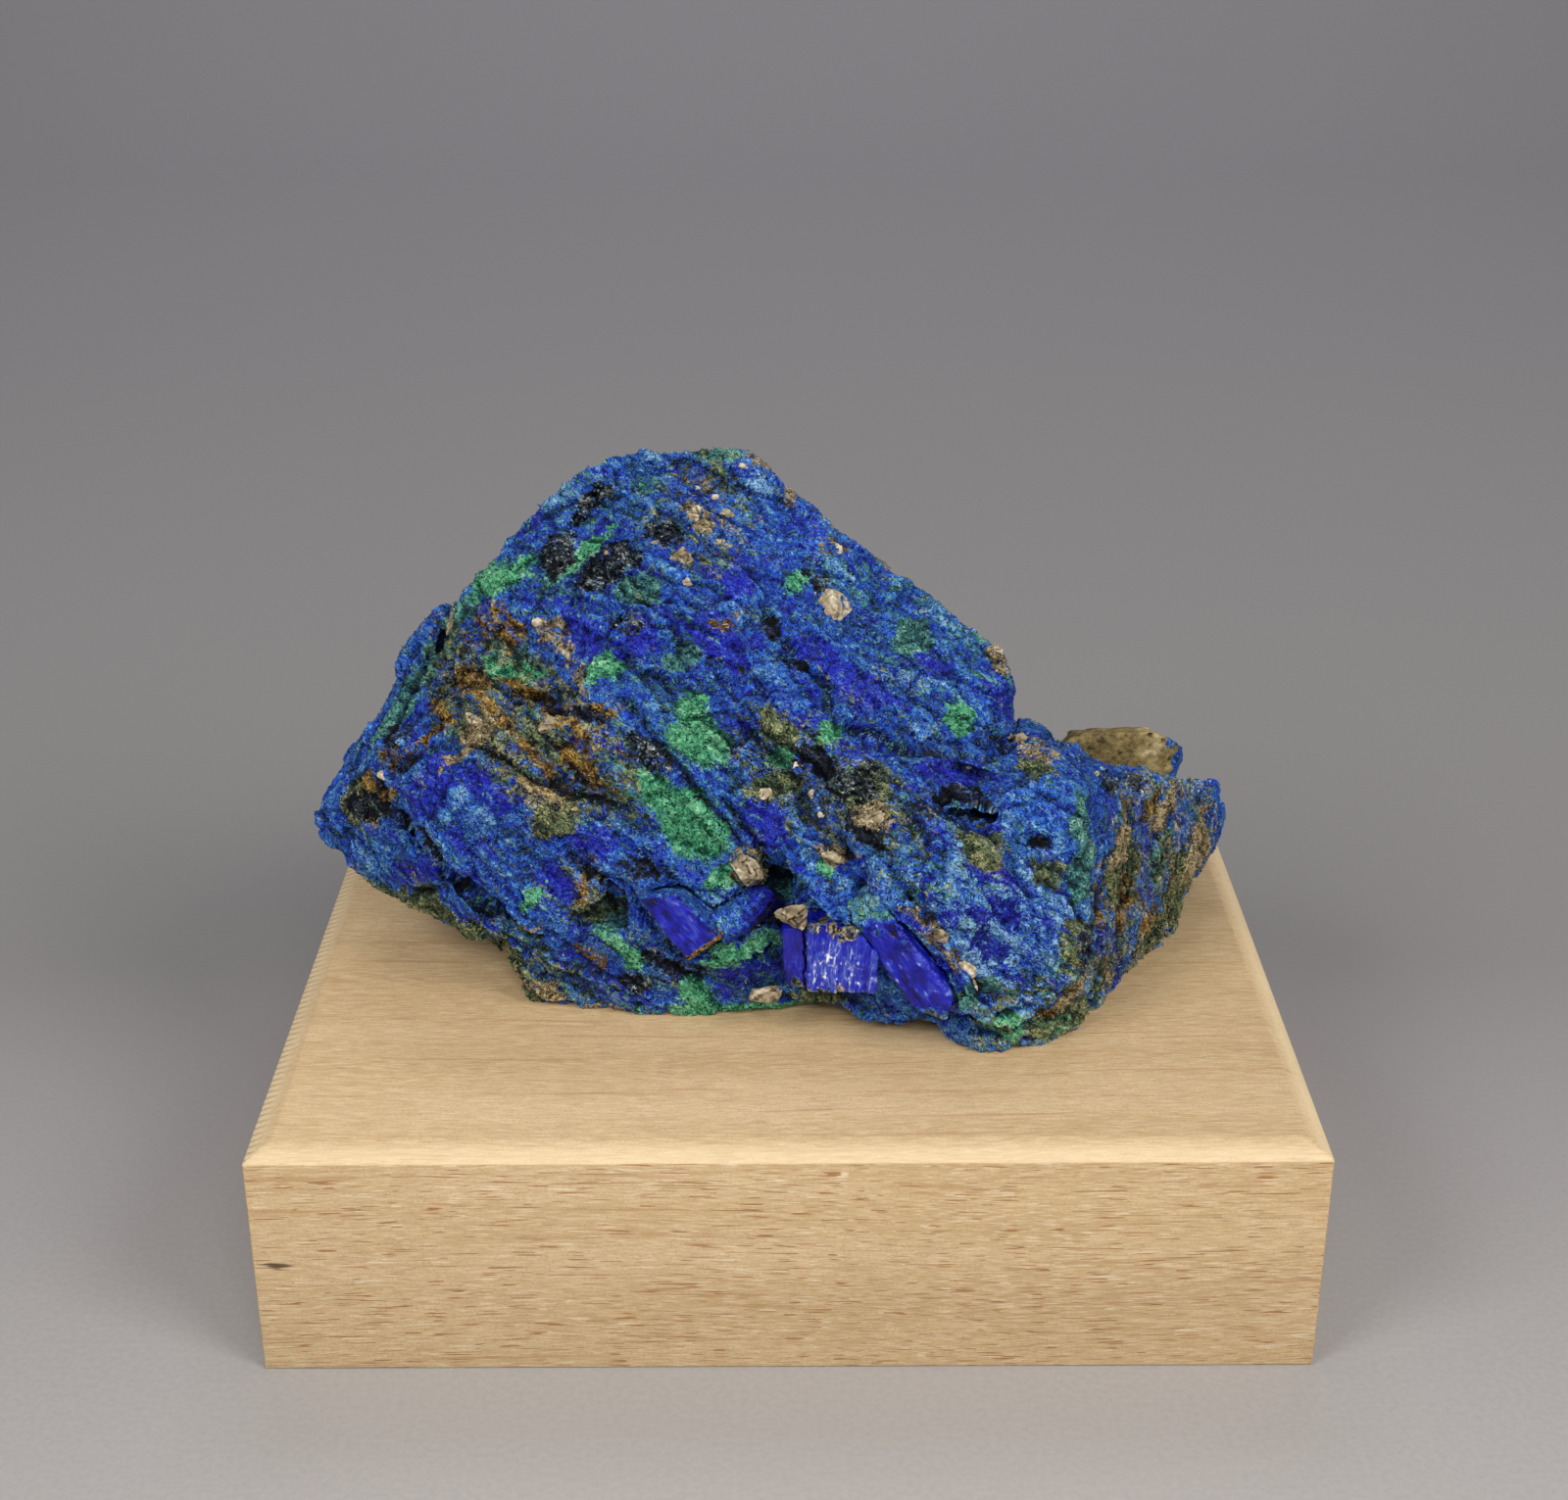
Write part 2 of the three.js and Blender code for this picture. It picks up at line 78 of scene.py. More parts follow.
class Finish:
    """A material built of nodes. An input is a number, a #rrggbb colour, or a socket to link from."""

    def __init__(self, name):
        self.material = bpy.data.materials.new(name)
        self.material.use_nodes = True
        self.tree = self.material.node_tree
        self.tree.nodes.clear()

    def add(self, kind, inputs=None, **settings):
        """Adds one node and gives its outputs."""
        made = self.tree.nodes.new("ShaderNode" + kind)
        for name, value in settings.items():
            setattr(made, name, value)
        for name, value in (inputs or {}).items():
            if isinstance(value, bpy.types.NodeSocket):
                self.tree.links.new(value, made.inputs[name])
            else:
                made.inputs[name].default_value = linear(value) if isinstance(value, str) else value
        return made.outputs

    def stored(self, name, output="Vector"):
        """A value that is kept on the mesh."""
        return self.add("Attribute", attribute_name=name)[output]

    def split(self, value):
        """The three parts of a vector or a colour."""
        return self.add("SeparateXYZ", {"Vector": value})

    def laid(self, places, scale, location=(0, 0, 0), rotation=(0, 0, 0)):
        """Places scaled, turned and moved."""
        inputs = {"Vector": places, "Scale": scale, "Location": location, "Rotation": rotation}
        return self.add("Mapping", inputs)["Vector"]

    def pushed(self, places, push, amount):
        """Places moved by a random push of this size."""
        return self.add("VectorMath", {0: push, 1: amount, 2: places}, operation="MULTIPLY_ADD")["Vector"]

    def noise(self, places, scale, detail=2.0, roughness=0.5, output="Fac"):
        inputs = {"Vector": places, "Scale": scale, "Detail": detail, "Roughness": roughness}
        return self.add("TexNoise", inputs)[output]

    def math(self, operation, *values):
        return self.add("Math", dict(enumerate(values)), operation=operation)["Value"]

    def weighted(self, value, weight, base):
        """The base with so much of the value added."""
        return self.math("MULTIPLY_ADD", value, weight, base)

    def span(self, value, start, full, low=0.0, high=1.0):
        """Runs evenly from low, where the value is at its start, to high, where it is full."""
        inputs = {"Value": value, "From Min": start, "From Max": full, "To Min": low, "To Max": high}
        return self.add("MapRange", inputs)["Result"]

    def ramp(self, level, places, colours):
        """The colour at this level, with the colours at these places from 0 to 1."""
        ramped = self.add("ValToRGB", {"Fac": level})["Color"]
        elements = ramped.node.color_ramp.elements
        while len(elements) < len(places):
            elements.new(0.5)
        for element, place, colour in zip(elements, places, colours):
            element.position = place
            element.color = linear(colour)
        return ramped

    def mix(self, share, first, second):
        """The first colour with this share of the second over it."""
        return self.add("Mix", {0: share, 6: first, 7: second}, data_type="RGBA")[2]

    def bump(self, relief, deep, strength):
        """The normal of a relief this many mm deep."""
        return self.add("Bump", {"Height": relief, "Distance": deep * MM, "Strength": strength})["Normal"]

    def done(self, inputs):
        skin = self.add("BsdfPrincipled", inputs)
        self.add("OutputMaterial", {"Surface": skin["BSDF"]})
        return self.material


def put_in_scene(name, data):
    thing = bpy.data.objects.new(name, data)
    scene.collection.objects.link(thing)
    return thing


def mesh_of(name, points, faces):
    mesh = bpy.data.meshes.new(name)
    mesh.from_pydata(points, [], faces, shade_flat=False)
    return mesh


def set_mode(mode):
    bpy.ops.object.mode_set(mode=mode)


def select_only(piece):
    """Leaves nothing but this piece selected and active."""
    bpy.ops.object.select_all(action="DESELECT")
    piece.select_set(True)
    bpy.context.view_layer.objects.active = piece


def edit_whole(piece):
    """Opens the piece in edit mode with all of it selected."""
    select_only(piece)
    set_mode("EDIT")
    bpy.ops.mesh.select_all(action="SELECT")


def apply_modifier(piece, kind, **settings):
    select_only(piece)
    modifier = piece.modifiers.new(kind.lower(), kind)
    for name, value in settings.items():
        setattr(modifier, name, value)
    bpy.ops.object.modifier_apply(modifier=modifier.name)


def merged_copy(node, name):
    """The shape of a CAD node as a new piece."""
    piece = put_in_scene(name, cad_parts[node].data.copy())
    piece.data.materials.clear()
    edit_whole(piece)
    bpy.ops.mesh.remove_doubles(threshold=0.002 * MM)
    bpy.ops.mesh.normals_make_consistent(inside=False)
    set_mode("OBJECT")
    return piece


def finely_meshed(piece, voxel):
    """Meshes the piece evenly, with faces this many mm wide, and drops any crumbs that come loose."""
    apply_modifier(piece, "REMESH", mode="VOXEL", voxel_size=voxel * MM)
    edit_whole(piece)
    bpy.ops.mesh.separate(type="LOOSE")
    set_mode("OBJECT")
    parts = sorted(bpy.context.selected_objects, key=lambda part: len(part.data.vertices))
    main = parts.pop()
    for crumb in parts:
        bpy.data.objects.remove(crumb)
    return main


def read(collection, name, width=1):
    """One property of all vertices or faces as an array."""
    values = np.zeros(len(collection) * width)
    collection.foreach_get(name, values)
    return values.reshape(-1, width) if width > 1 else values


def surface(piece):
    """The places of all vertices in mm, and their normals."""
    return read(piece.data.vertices, "co", 3) / MM, read(piece.data.vertices, "normal", 3)


def set_points(piece, points):
    """Moves all vertices to these places, in mm."""
    piece.data.vertices.foreach_set("co", (points * MM).ravel())
    piece.data.update()


def smoothed(piece, points, rounds):
    """The points of a piece after each has moved to the mean of its neighbours, this many times."""
    first, second = read(piece.data.edges, "vertices", 2).astype(int).T
    share = np.bincount(first, minlength=len(points)) + np.bincount(second, minlength=len(points))
    for _ in range(rounds):
        total = np.zeros_like(points)
        for axis in range(3):
            total[:, axis] = np.bincount(first, points[second, axis], len(points))
            total[:, axis] += np.bincount(second, points[first, axis], len(points))
        points = total / share[:, None]
    return points


def below_near(piece, points, normals, rounds):
    """How far each point lies below its neighbourhood, in mm. More rounds take in a wider one."""
    return ((smoothed(piece, points, rounds) - points) * normals).sum(axis=1)


def in_own_box(points):
    """Where each point lies in the box round them all, from 0 to 1 along each axis."""
    low, high = points.min(axis=0), points.max(axis=0)
    return (points - low) / (high - low)


def keep_in_box(points, node, margin):
    """Holds points in mm within a CAD node's box and this margin, but with none below."""
    low, high = (np.array(corner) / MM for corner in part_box(node))
    return np.clip(points, (low[0] - margin, low[1] - margin, low[2]), high + margin)


def unit(vectors):
    return vectors / np.maximum(np.linalg.norm(vectors, axis=1, keepdims=True), 1e-9)


def keep_on_mesh(piece, share, **values):
    """Keeps numbers for each vertex, for the materials to read: the share of each mineral, none if it
    isn't named, and one or three numbers under each other name."""
    count = len(piece.data.vertices)
    for group, kinds in SHARE_GROUPS.items():
        values[group] = np.stack([np.broadcast_to(share.get(kind, 0.0), count) for kind in kinds], axis=1)
    for name, numbers in values.items():
        wide = np.ndim(numbers) == 2
        attribute = piece.data.attributes.new(name, "FLOAT_VECTOR" if wide else "FLOAT", "POINT")
        attribute.data.foreach_set("vector" if wide else "value", np.asarray(numbers, np.float32).ravel())


def finish_piece(piece, slot, *nodes):
    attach(piece, "root")
    if nodes:
        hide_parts(*nodes)


# ---- random patterns in space ----


def scramble(cell, salt):
    """Three even random numbers from 0 to 1 for each whole-numbered cell, the same in every run."""
    x, y, z = (cell[..., axis].astype(np.int64) for axis in range(3))
    mixed = (x * 73856093) ^ (y * 19349663) ^ (z * 83492791) ^ (salt * 40503)
    numbers = []
    for _ in range(3):
        mixed = ((mixed ^ (mixed >> 15)) * 0x2C1B3C6D) & 0xFFFFFFFF
        mixed = ((mixed ^ (mixed >> 12)) * 0x297A2D39) & 0xFFFFFFFF
        mixed = mixed ^ (mixed >> 15)
        numbers.append((mixed & 0xFFFF) / 65535)
    return np.stack(numbers, axis=-1)


def drift(points, salt):
    """A smooth swell between -1 and 1, with about one hill to a unit."""
    home = np.floor(points)
    part = points - home
    part = part * part * (3 - 2 * part)
    total = np.zeros(len(points))
    for corner in np.ndindex(2, 2, 2):
        weight = np.prod(np.where(np.array(corner), part, 1 - part), axis=1)
        total += weight * scramble(home + np.array(corner), salt)[:, 0]
    return total * 2 - 1


def packed_cells(points, salt):
    """Packs space with cells of about one unit. Gives each point's offset from its cell's middle, the
    cell's random numbers, and how far off the cell's wall is."""
    home = np.floor(points)
    nearest = np.full(len(points), 9.0)
    second = nearest.copy()
    offset = np.zeros_like(points)
    chance = np.zeros_like(points)
    for step in np.ndindex(3, 3, 3):
        cell = home + np.array(step) - 1
        away = points - cell - scramble(cell, salt)
        gap = np.sqrt((away**2).sum(axis=1))
        closer = gap < nearest
        second = np.where(closer, nearest, np.minimum(second, gap))
        nearest = np.where(closer, gap, nearest)
        offset[closer] = away[closer]
        chance[closer] = scramble(cell[closer], salt + 1)
    return offset, chance, second - nearest


def blades(lay, length, width, salt):
    """The relief of broken blades, with grooves between them, and three random numbers for each blade."""
    offset, chance, wall = packed_cells(lay / (length, width, width), salt)
    tilt = ((chance[:, [1, 2, 0]] - 0.5) * offset).sum(axis=1)
    groove = np.clip(0.14 - wall, 0, None) * 4
    return chance[:, 0] - 0.5 + 1.5 * tilt - groove, chance


def ledges(lay, width, salt):
    """Shingled ledges along the grain, each rising across it to a sharp drop."""
    rise = lay[:, 1] / width + 1.3 * drift(lay / (9, 3, 3), salt) + 0.3 * drift(lay / 1.5, salt + 1)
    strength = np.clip(drift(lay / (12, 5, 5), salt + 2) + 0.35, 0, 1)
    return (rise - np.floor(rise) - 0.5) * strength


# ---- where each mineral shows ----

# Places on the show side: mm right of the ore's left end, mm up from its foot, long and short size in
# mm, and the turn of the long side in degrees. Noise breaks up their edges.
MINERAL_PLACES = {
    "malachite": (
        (21, 48.1, 8, 3, 33), (29.5, 50.3, 8.5, 1.3, 42), (22, 38.5, 6, 2.5, -20), (32, 38.5, 4.5, 3, -35),
        (40.5, 34.5, 5, 3, -60), (41, 31, 7, 4.5, -30), (37.5, 26, 6.5, 2.5, -40), (40.5, 23, 9, 4.5, -40),
        (43, 17.5, 4, 2.5, 40), (49, 29.5, 2, 3, 60), (54, 32, 3.5, 2, 15), (67.5, 33.5, 4, 4, 0),
        (45, 10, 10, 2, 20), (40, 5.5, 5, 2.5, -50), (45, 3.5, 22, 1.5, 2), (33, 10.5, 5.5, 1.5, -40),
        (24, 16, 2.5, 2.5, -50), (72, 2.5, 4, 2.5, -50), (54, 19, 2.5, 1.5, 60), (50.5, 47.5, 2, 2, 0),
    ),
    "teal": (
        (10.5, 36, 15, 1.6, 58), (16, 43.5, 7, 1.6, 55), (26.5, 48.4, 4, 1.2, 40), (21.5, 40.5, 5, 1, -10),
        (42.5, 60.6, 4, 1.4, 0), (39, 39.5, 4, 2, 10), (35, 46.5, 4, 3, 30), (48.5, 17.5, 5, 2.5, -50),
        (79, 20, 1.6, 12, 0), (68, 6.5, 6, 2, 10), (62.5, 42, 4, 4, -40), (18, 7, 7, 2, -20),
        (32, 14, 4, 4, 0), (89.5, 18.5, 1.4, 7, -10),
    ),
    "limonite": (
        (20.5, 43.4, 6.5, 3.2, -35), (17.5, 37.5, 5, 1.6, -25), (15, 34.5, 4, 1, -35),
        (23, 36.5, 6, 0.8, -35), (25, 29.5, 5, 1, -50), (12.5, 30.5, 8, 0.9, 40), (9.8, 29.6, 3.4, 2.2, 60),
        (7.6, 26.4, 4, 1.6, -40), (24.5, 26.5, 5, 1, -35), (29.5, 28.5, 8, 1.2, -40),
        (32, 34.5, 5, 0.8, -10), (54.5, 51, 4, 1.6, -15), (44, 43, 3, 1.2, 0), (29.5, 17, 1.2, 4, -20),
        (30, 9.5, 4, 1.2, -40), (41.5, 11, 6, 0.8, 25), (84.5, 14, 8, 1, 85), (81.5, 14.5, 1.4, 3.5, 0),
        (88, 24, 4, 1, 70), (76, 4.5, 5, 1, 25), (88, 12, 3, 1.6, 40), (21, 34, 7, 0.8, -40),
        (28, 33, 5, 0.8, -35),
    ),
    "gangue": (
        (26.5, 42, 5, 2, -50), (29, 38.5, 4.5, 1.2, -50), (40.5, 54.5, 4, 2, -60),
        (46.5, 60.5, 3.5, 1, -20), (60.5, 50, 3, 1.2, -30), (72, 40, 4, 1.5, -60),
        (50.5, 57, 3.5, 1.2, -75), (54.5, 20, 4, 1.5, -10), (64.3, 11.8, 9, 1.8, -48),
        (94.5, 20, 9, 2.4, 72), (78, 5.5, 5, 1.5, 35), (23.5, 6.5, 8, 1.2, -28), (29.5, 3.5, 7, 0.8, 5),
        (58.5, 24, 4, 2.5, 0), (75.5, 30.6, 5, 2.4, -20), (18, 31, 9, 1, 42), (84, 21, 7, 1, 76),
        (90, 24, 5, 1.2, 60), (46, 18.5, 4.5, 3.6, 30),
    ),
    "chalcostibite": (
        (26.8, 50.2, 5.5, 2.8, 62), (31.8, 48.8, 8, 3.4, 28), (30, 55.8, 6, 1.6, 38),
        (37.6, 52.4, 4, 2, -20), (36, 30, 5, 3, -50), (56.5, 27, 6, 4, -30), (84.5, 27, 6, 1.8, -15),
        (34, 42.5, 3, 2.5, 0), (53.5, 47, 3, 1.5, -30), (35, 7, 6, 2, -10),
    ),
    "olive": (
        (15.3, 11, 18, 5.4, -27), (6.4, 25, 5, 4, -50), (68.6, 20.5, 4, 4, 0), (76, 18, 4, 2, 0),
        (20, 6.5, 9, 3, -30), (27, 23, 4, 2.5, -30), (48, 26.5, 5.5, 2, 10), (48.8, 32.5, 5, 2, -50),
        (57.5, 26.5, 5, 4, 20), (29.5, 14.5, 4, 2, -20), (78, 11.5, 4, 5, 0), (77, 3, 7, 3, 15),
        (84.5, 18, 3, 9, 0), (92, 15, 9, 2.5, 72), (89, 10.5, 6, 2.5, 40), (53, 5.5, 6, 1.5, 0),
        (75, 28.5, 4, 1.5, -30),
    ),
    # Painted shade where the crust falls into cavities.
    "black_and_painted_shade": (
        (48.5, 43, 3.5, 1.4, -65), (50, 39.5, 4, 1.2, -25), (52, 48.5, 3.5, 1.6, -55),
        (29.5, 34, 6, 1.5, -10), (10, 32, 3.5, 3, 0), (13.5, 21, 12, 1.3, -50), (6.6, 24.4, 4, 2.4, -30),
        (74.9, 21.1, 2.2, 1.6, 0), (66.5, 24.8, 8.5, 4.4, -8), (52.5, 29, 4, 2, -20),
        (70, 31.5, 4, 1.6, -20), (47.5, 13.5, 5, 2.5, 30), (57.5, 22, 5, 1.2, -40), (38, 8.5, 7, 1.5, -20),
        (80, 11, 2.5, 4, 0), (35, 18.5, 4, 1.2, -30),
    ),
    "deep": (
        (29, 42.5, 7, 3, -60), (24, 54, 4, 2, 65), (35, 41.5, 4, 3, 50), (44, 47.5, 7, 3, -20),
        (43, 41, 7, 3, -40), (56.5, 36.5, 7, 5, -40), (53, 40.5, 5, 3, -30), (64.5, 39, 6, 2.2, -10),
        (72, 36.5, 6, 3.5, -60), (31, 31, 6, 2.5, -20), (14.5, 27, 7, 3.5, 60), (21, 26.5, 7, 4, -35),
        (30.5, 21.5, 6, 2.5, 0), (47, 23, 6, 4, -35), (45.5, 7.5, 8, 3, 25), (26.5, 17, 5, 3, -60),
        (11, 17.5, 6, 2.2, 0), (32, 6.5, 6, 3, -30), (64, 5.5, 6, 2.5, -30), (66, 28.5, 8, 2, -12),
    ),
    "light": (
        (38, 60, 7, 3, 5), (28, 57.5, 9, 2, 30), (46, 57.5, 6, 3, -20), (54.5, 48, 8, 3, -40),
        (7, 29.5, 4, 3.5, 55), (6.5, 19.5, 6, 3, -15), (19, 24, 7, 4, -20), (25.5, 6.5, 6, 2.5, -40),
        (66, 44, 8, 2, -30), (69, 11.5, 8, 5, -50), (62.5, 37.5, 7, 4, -30), (53.5, 19, 7, 3, -50),
        (70, 18.5, 7, 4, -40), (83.5, 9.5, 6, 2.5, 30), (67.5, 2.5, 7, 2.2, 5), (43.5, 16, 5, 2.2, 30),
    ),
}

# Wider zones in which some minerals turn up more in specks and streaks.
MINERAL_ZONES = (
    ((24, 33, 30, 13, -38), {"limonite": 0.34, "olive": 0.5, "gangue": 0.28, "black_and_painted_shade": 0.22, "teal": 0.14,
                             "malachite": 0.12}),
    ((89, 17, 34, 16, 78), {"gangue": 0.4, "limonite": 0.24, "olive": 0.3, "teal": 0.14, "light": 0.3,
                            "black_and_painted_shade": 0.12}),
    ((15, 11, 32, 9, -22), {"olive": 0.34, "gangue": 0.22, "teal": 0.14, "black_and_painted_shade": 0.14}),
    ((29, 52, 20, 13, 35), {"chalcostibite": 0.2, "teal": 0.2, "black_and_painted_shade": 0.1, "malachite": 0.06}),
    ((53, 27, 26, 10, -30), {"olive": 0.32, "black_and_painted_shade": 0.3, "gangue": 0.24, "limonite": 0.12,
                             "malachite": 0.14}),
    ((44, 8, 40, 12, 4), {"malachite": 0.14, "olive": 0.12, "black_and_painted_shade": 0.1, "teal": 0.1}),
    ((41, 54, 12, 13, 0), {"gangue": 0.26, "olive": 0.26, "limonite": 0.08, "black_and_painted_shade": 0.14}),
    # The top is paler, partly as painted light on its upward faces.
    ((42, 57, 36, 14, -10), {"light": 0.26}),
    ((72, 13, 28, 20, -40), {"light": 1.0, "deep": 0.3, "teal": 0.06}),
    ((64, 42, 26, 12, -32), {"light": 0.14, "teal": 0.16, "malachite": 0.06}),
    ((50, 38, 40, 16, -30), {"deep": 0.1, "olive": 0.06}),
    ((20, 23, 34, 16, -35), {"deep": 0.08, "olive": 0.05}),
    ((75, 4, 18, 10, 35), {"olive": 0.3, "teal": 0.14, "gangue": 0.26, "malachite": 0.26,
                           "limonite": 0.16, "light": 0.4}),
    ((40, 27, 12, 26, 30), {"malachite": 0.14, "teal": 0.14}),
    ((60, 20, 14, 18, -40), {"teal": 0.1, "olive": 0.08}),
    ((68.6, 20.3, 5, 5, 0), {"gangue": 0.3, "olive": 0.2}),
    ((25.5, 24.8, 8, 4, -35), {"gangue": 0.3, "olive": 0.3, "black_and_painted_shade": 0.2}),
    ((30, 17.5, 9, 4, -55), {"gangue": 0.3, "limonite": 0.2, "olive": 0.3, "black_and_painted_shade": 0.4}),
    ((6.6, 24.8, 6, 6, 0), {"gangue": 0.3, "limonite": 0.3, "olive": 0.2, "black_and_painted_shade": 0.3}),
)

# Open seams on the show side: width and depth in mm, then the places that each runs through.
SEAMS = (
    (1.1, 1.3, ((7.5, 27), (9, 24), (12.5, 22), (15, 19), (17, 16), (20, 14))),
    (0.8, 0.7, ((9.5, 27.5), (13, 30.5), (18.5, 31), (22.5, 29), (26.5, 27), (30.5, 25.5), (34, 24.5))),
    (0.7, 0.7, ((20, 37.5), (23.5, 34.5), (26.5, 31), (29.5, 27), (32.5, 25.5))),
    (0.9, 1.0, ((33.5, 35.5), (35.5, 33), (38, 30), (40, 27), (42, 24.5), (44, 22.5), (45.5, 20.5))),
    (0.8, 1.0, ((43.5, 25), (46, 22), (48, 18.5))),
    (0.7, 0.9, ((49.5, 40), (52, 38.5), (54, 36.5), (54, 34.5), (55, 32.5), (58, 32), (62, 30))),
    (0.6, 0.7, ((62, 30), (65.5, 30), (69.5, 29), (74, 31))),
    (0.9, 0.8, ((59.5, 19), (62, 15), (65, 12), (67.5, 9), (70, 6))),
    (0.7, 0.7, ((82.5, 19), (82, 16), (81.5, 13), (80, 10))),
    (0.7, 0.6, ((43, 37.5), (45, 35.5), (46, 34))),
    (0.6, 0.5, ((23, 53), (26.5, 55), (31.5, 57.5))),
    (0.6, 0.5, ((25.5, 52), (30, 54.5), (34.5, 57))),
    (1.0, 0.8, ((47.5, 45), (49, 42.5), (50.5, 40))),
    (0.8, 0.8, ((11.5, 15.5), (16, 16.5), (20, 14.5), (24.5, 12), (26.5, 11))),
    (0.7, 0.7, ((29, 18.5), (34, 16.5), (36, 13), (39, 9.5))),
    (0.6, 0.6, ((26.5, 27), (30.5, 24), (35, 20), (39, 17))),
    (0.7, 0.7, ((15, 37.5), (18, 38.5), (20, 37.5))),
    (0.5, 0.4, ((54.5, 42.5), (57.5, 37.5), (59.5, 32.5))),
    (0.7, 0.7, ((34, 11), (38, 8.5), (41, 6.5))),
    (0.5, 0.5, ((13, 40), (11.5, 37), (9, 32), (5.5, 27.5))),
    (0.5, 0.5, ((12, 41), (9.5, 37), (6.5, 32))),
    (0.6, 0.7, ((73, 27), (76.5, 25), (79, 24))),
    (0.6, 0.8, ((58.5, 2), (63.5, 3), (69, 4), (74, 5))),
    (0.5, 0.5, ((69, 22.5), (73, 17.5), (74.5, 11.5))),
    (0.6, 0.7, ((75, 17.5), (77.5, 16), (79, 13.5))),
    (1.7, 1.3, ((65.6, 25.2), (67.6, 25.4), (70, 24.2))),
    (0.9, 0.9, ((74, 21.4), (75.6, 20.8))),
)

# Each mineral: how readily it turns up in specks and streaks away from its places, and how unbroken
# it lies in the middle of them.
KINDS = {
    "malachite": (0.08, 0.6), "teal": (0.3, 0.4), "limonite": (0.04, 0.2), "gangue": (0.06, 0.3),
    "chalcostibite": (0.0, 0.4), "olive": (0.22, 0.2), "black_and_painted_shade": (0.06, 0.15), "deep": (0.2, 0.5),
    "light": (0.2, 0.35),
}


# The left end and the foot of the ore as seen from the show side, in mm.
ORE_POINTS, _ = surface(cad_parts["ore_mass"])
ORE_LEFT, ORE_FOOT = ORE_POINTS[:, 0].min(), (ORE_POINTS @ SHOW_UP).min()


def on_show_side(points):
    """Where points in mm lie on the show side: mm to the right, mm up, mm in."""
    return points[:, 0] - ORE_LEFT, points @ SHOW_UP - ORE_FOOT, points @ SHOW_IN


def faces_viewer(points, normals):
    """True for the points that are seen from the show side, with nothing in front of them."""
    right, up, inward = on_show_side(points)
    cell, cells, behind = 0.8, 200, 3
    column = np.clip((right / cell).astype(int) + 2, 0, cells - 1)
    row = np.clip((up / cell).astype(int) + 2, 0, cells - 1)
    nearest = np.full((cells, cells), 1e9)
    np.minimum.at(nearest, (row, column), inward)
    return (normals @ SHOW_IN < 0.1) & (inward < nearest[row, column] + behind)


def along_grain(points, angle):
    """The points turned so that their first axis lies along this direction of the show side."""
    along = points[:, 0] * math.cos(angle) + points[:, 2] * math.sin(angle)
    across = points[:, 2] * math.cos(angle) - points[:, 0] * math.sin(angle)
    return np.stack((along, across, points[:, 1]), axis=1)


def laid_out(points):
    """The points in mm with their first axis along the local grain, and the angle of that grain."""
    right, up, _ = on_show_side(points)
    wander = 1.5 * drift(points / 2.5, 15)
    flank = (right + wander < 4 + 0.28 * (up - 24)) & (up > 24)
    wall = right + wander > 79 + 0.1 * (27 - up)
    angle = np.where(flank, FLANK_ANGLE, np.where(wall, WALL_ANGLE, GRAIN_ANGLE))
    lay = along_grain(points, GRAIN_ANGLE)
    lay[flank] = along_grain(points[flank], FLANK_ANGLE)
    lay[wall] = along_grain(points[wall], WALL_ANGLE)
    return lay, angle


def inside_place(right, up, place):
    """How far inside an oval place each point is: 1 in its middle, 0 on its edge."""
    across, height, length, width, turn = place
    angle = math.radians(turn)
    x, y = right - across, up - height
    u = (x * math.cos(angle) + y * math.sin(angle)) / (length / 2 + 0.3)
    v = (y * math.cos(angle) - x * math.sin(angle)) / (width / 2 + 0.3)
    return 1 - np.sqrt(u * u + v * v)


def mineral_map(points, normals, lay):
    """How much of each mineral there is at each point, where 0.5 is its edge, and what is seen."""
    seen = faces_viewer(points, normals)
    stirred = points + 0.9 * np.stack([drift(points / 2.2, salt) for salt in (16, 17, 18)], axis=1)
    stirred += 0.35 * np.stack([drift(points / 0.8, salt) for salt in (19, 20, 21)], axis=1)
    right, up, _ = on_show_side(stirred[seen])
    share = {}
    for number, (kind, (stray, unbroken)) in enumerate(KINDS.items()):
        inside = np.max([inside_place(right, up, place) for place in MINERAL_PLACES[kind]], axis=0)
        streaks = drift(lay / (6, 0.9, 1.2), 30 + number)
        specks = drift(lay / (2, 0.5, 0.6), 50 + number)
        drifts = drift(lay / (14, 6, 6), 70 + number)
        amount = stray + 0.24 * streaks + 0.16 * specks + 0.3 * np.clip(drifts, -0.5, 1) * ~seen
        amount[seen] += np.clip(inside, -0.12, unbroken) * 0.9 + 0.34 * np.clip(inside * 8, 0, 1)
        share[kind] = amount
    for place, boosts in MINERAL_ZONES:
        within = np.clip(inside_place(right, up, place) * 3 + 0.3, 0, 1)
        for kind, boost in boosts.items():
            share[kind][seen] += boost * within
    return share, seen


def open_seams(points, seen):
    """How deep the open seams cut at each point, in mm."""
    right, up, _ = on_show_side(points)
    wander = 0.35 * drift(points / 1.1, 14)
    depth = np.zeros(len(points))
    for width, deep, route in SEAMS:
        route = np.array(route, float)
        for start, end in zip(route, route[1:]):
            run = end - start
            part = np.clip(((right - start[0]) * run[0] + (up - start[1]) * run[1]) / (run @ run), 0, 1)
            gap = np.hypot(right - start[0] - part * run[0], up - start[1] - part * run[1]) + wander
            depth = np.maximum(depth, deep * np.clip(1 - np.abs(gap) / width, 0, 1))
    return np.where(seen, depth, 0)


# ---- the stage, the light and the camera ----


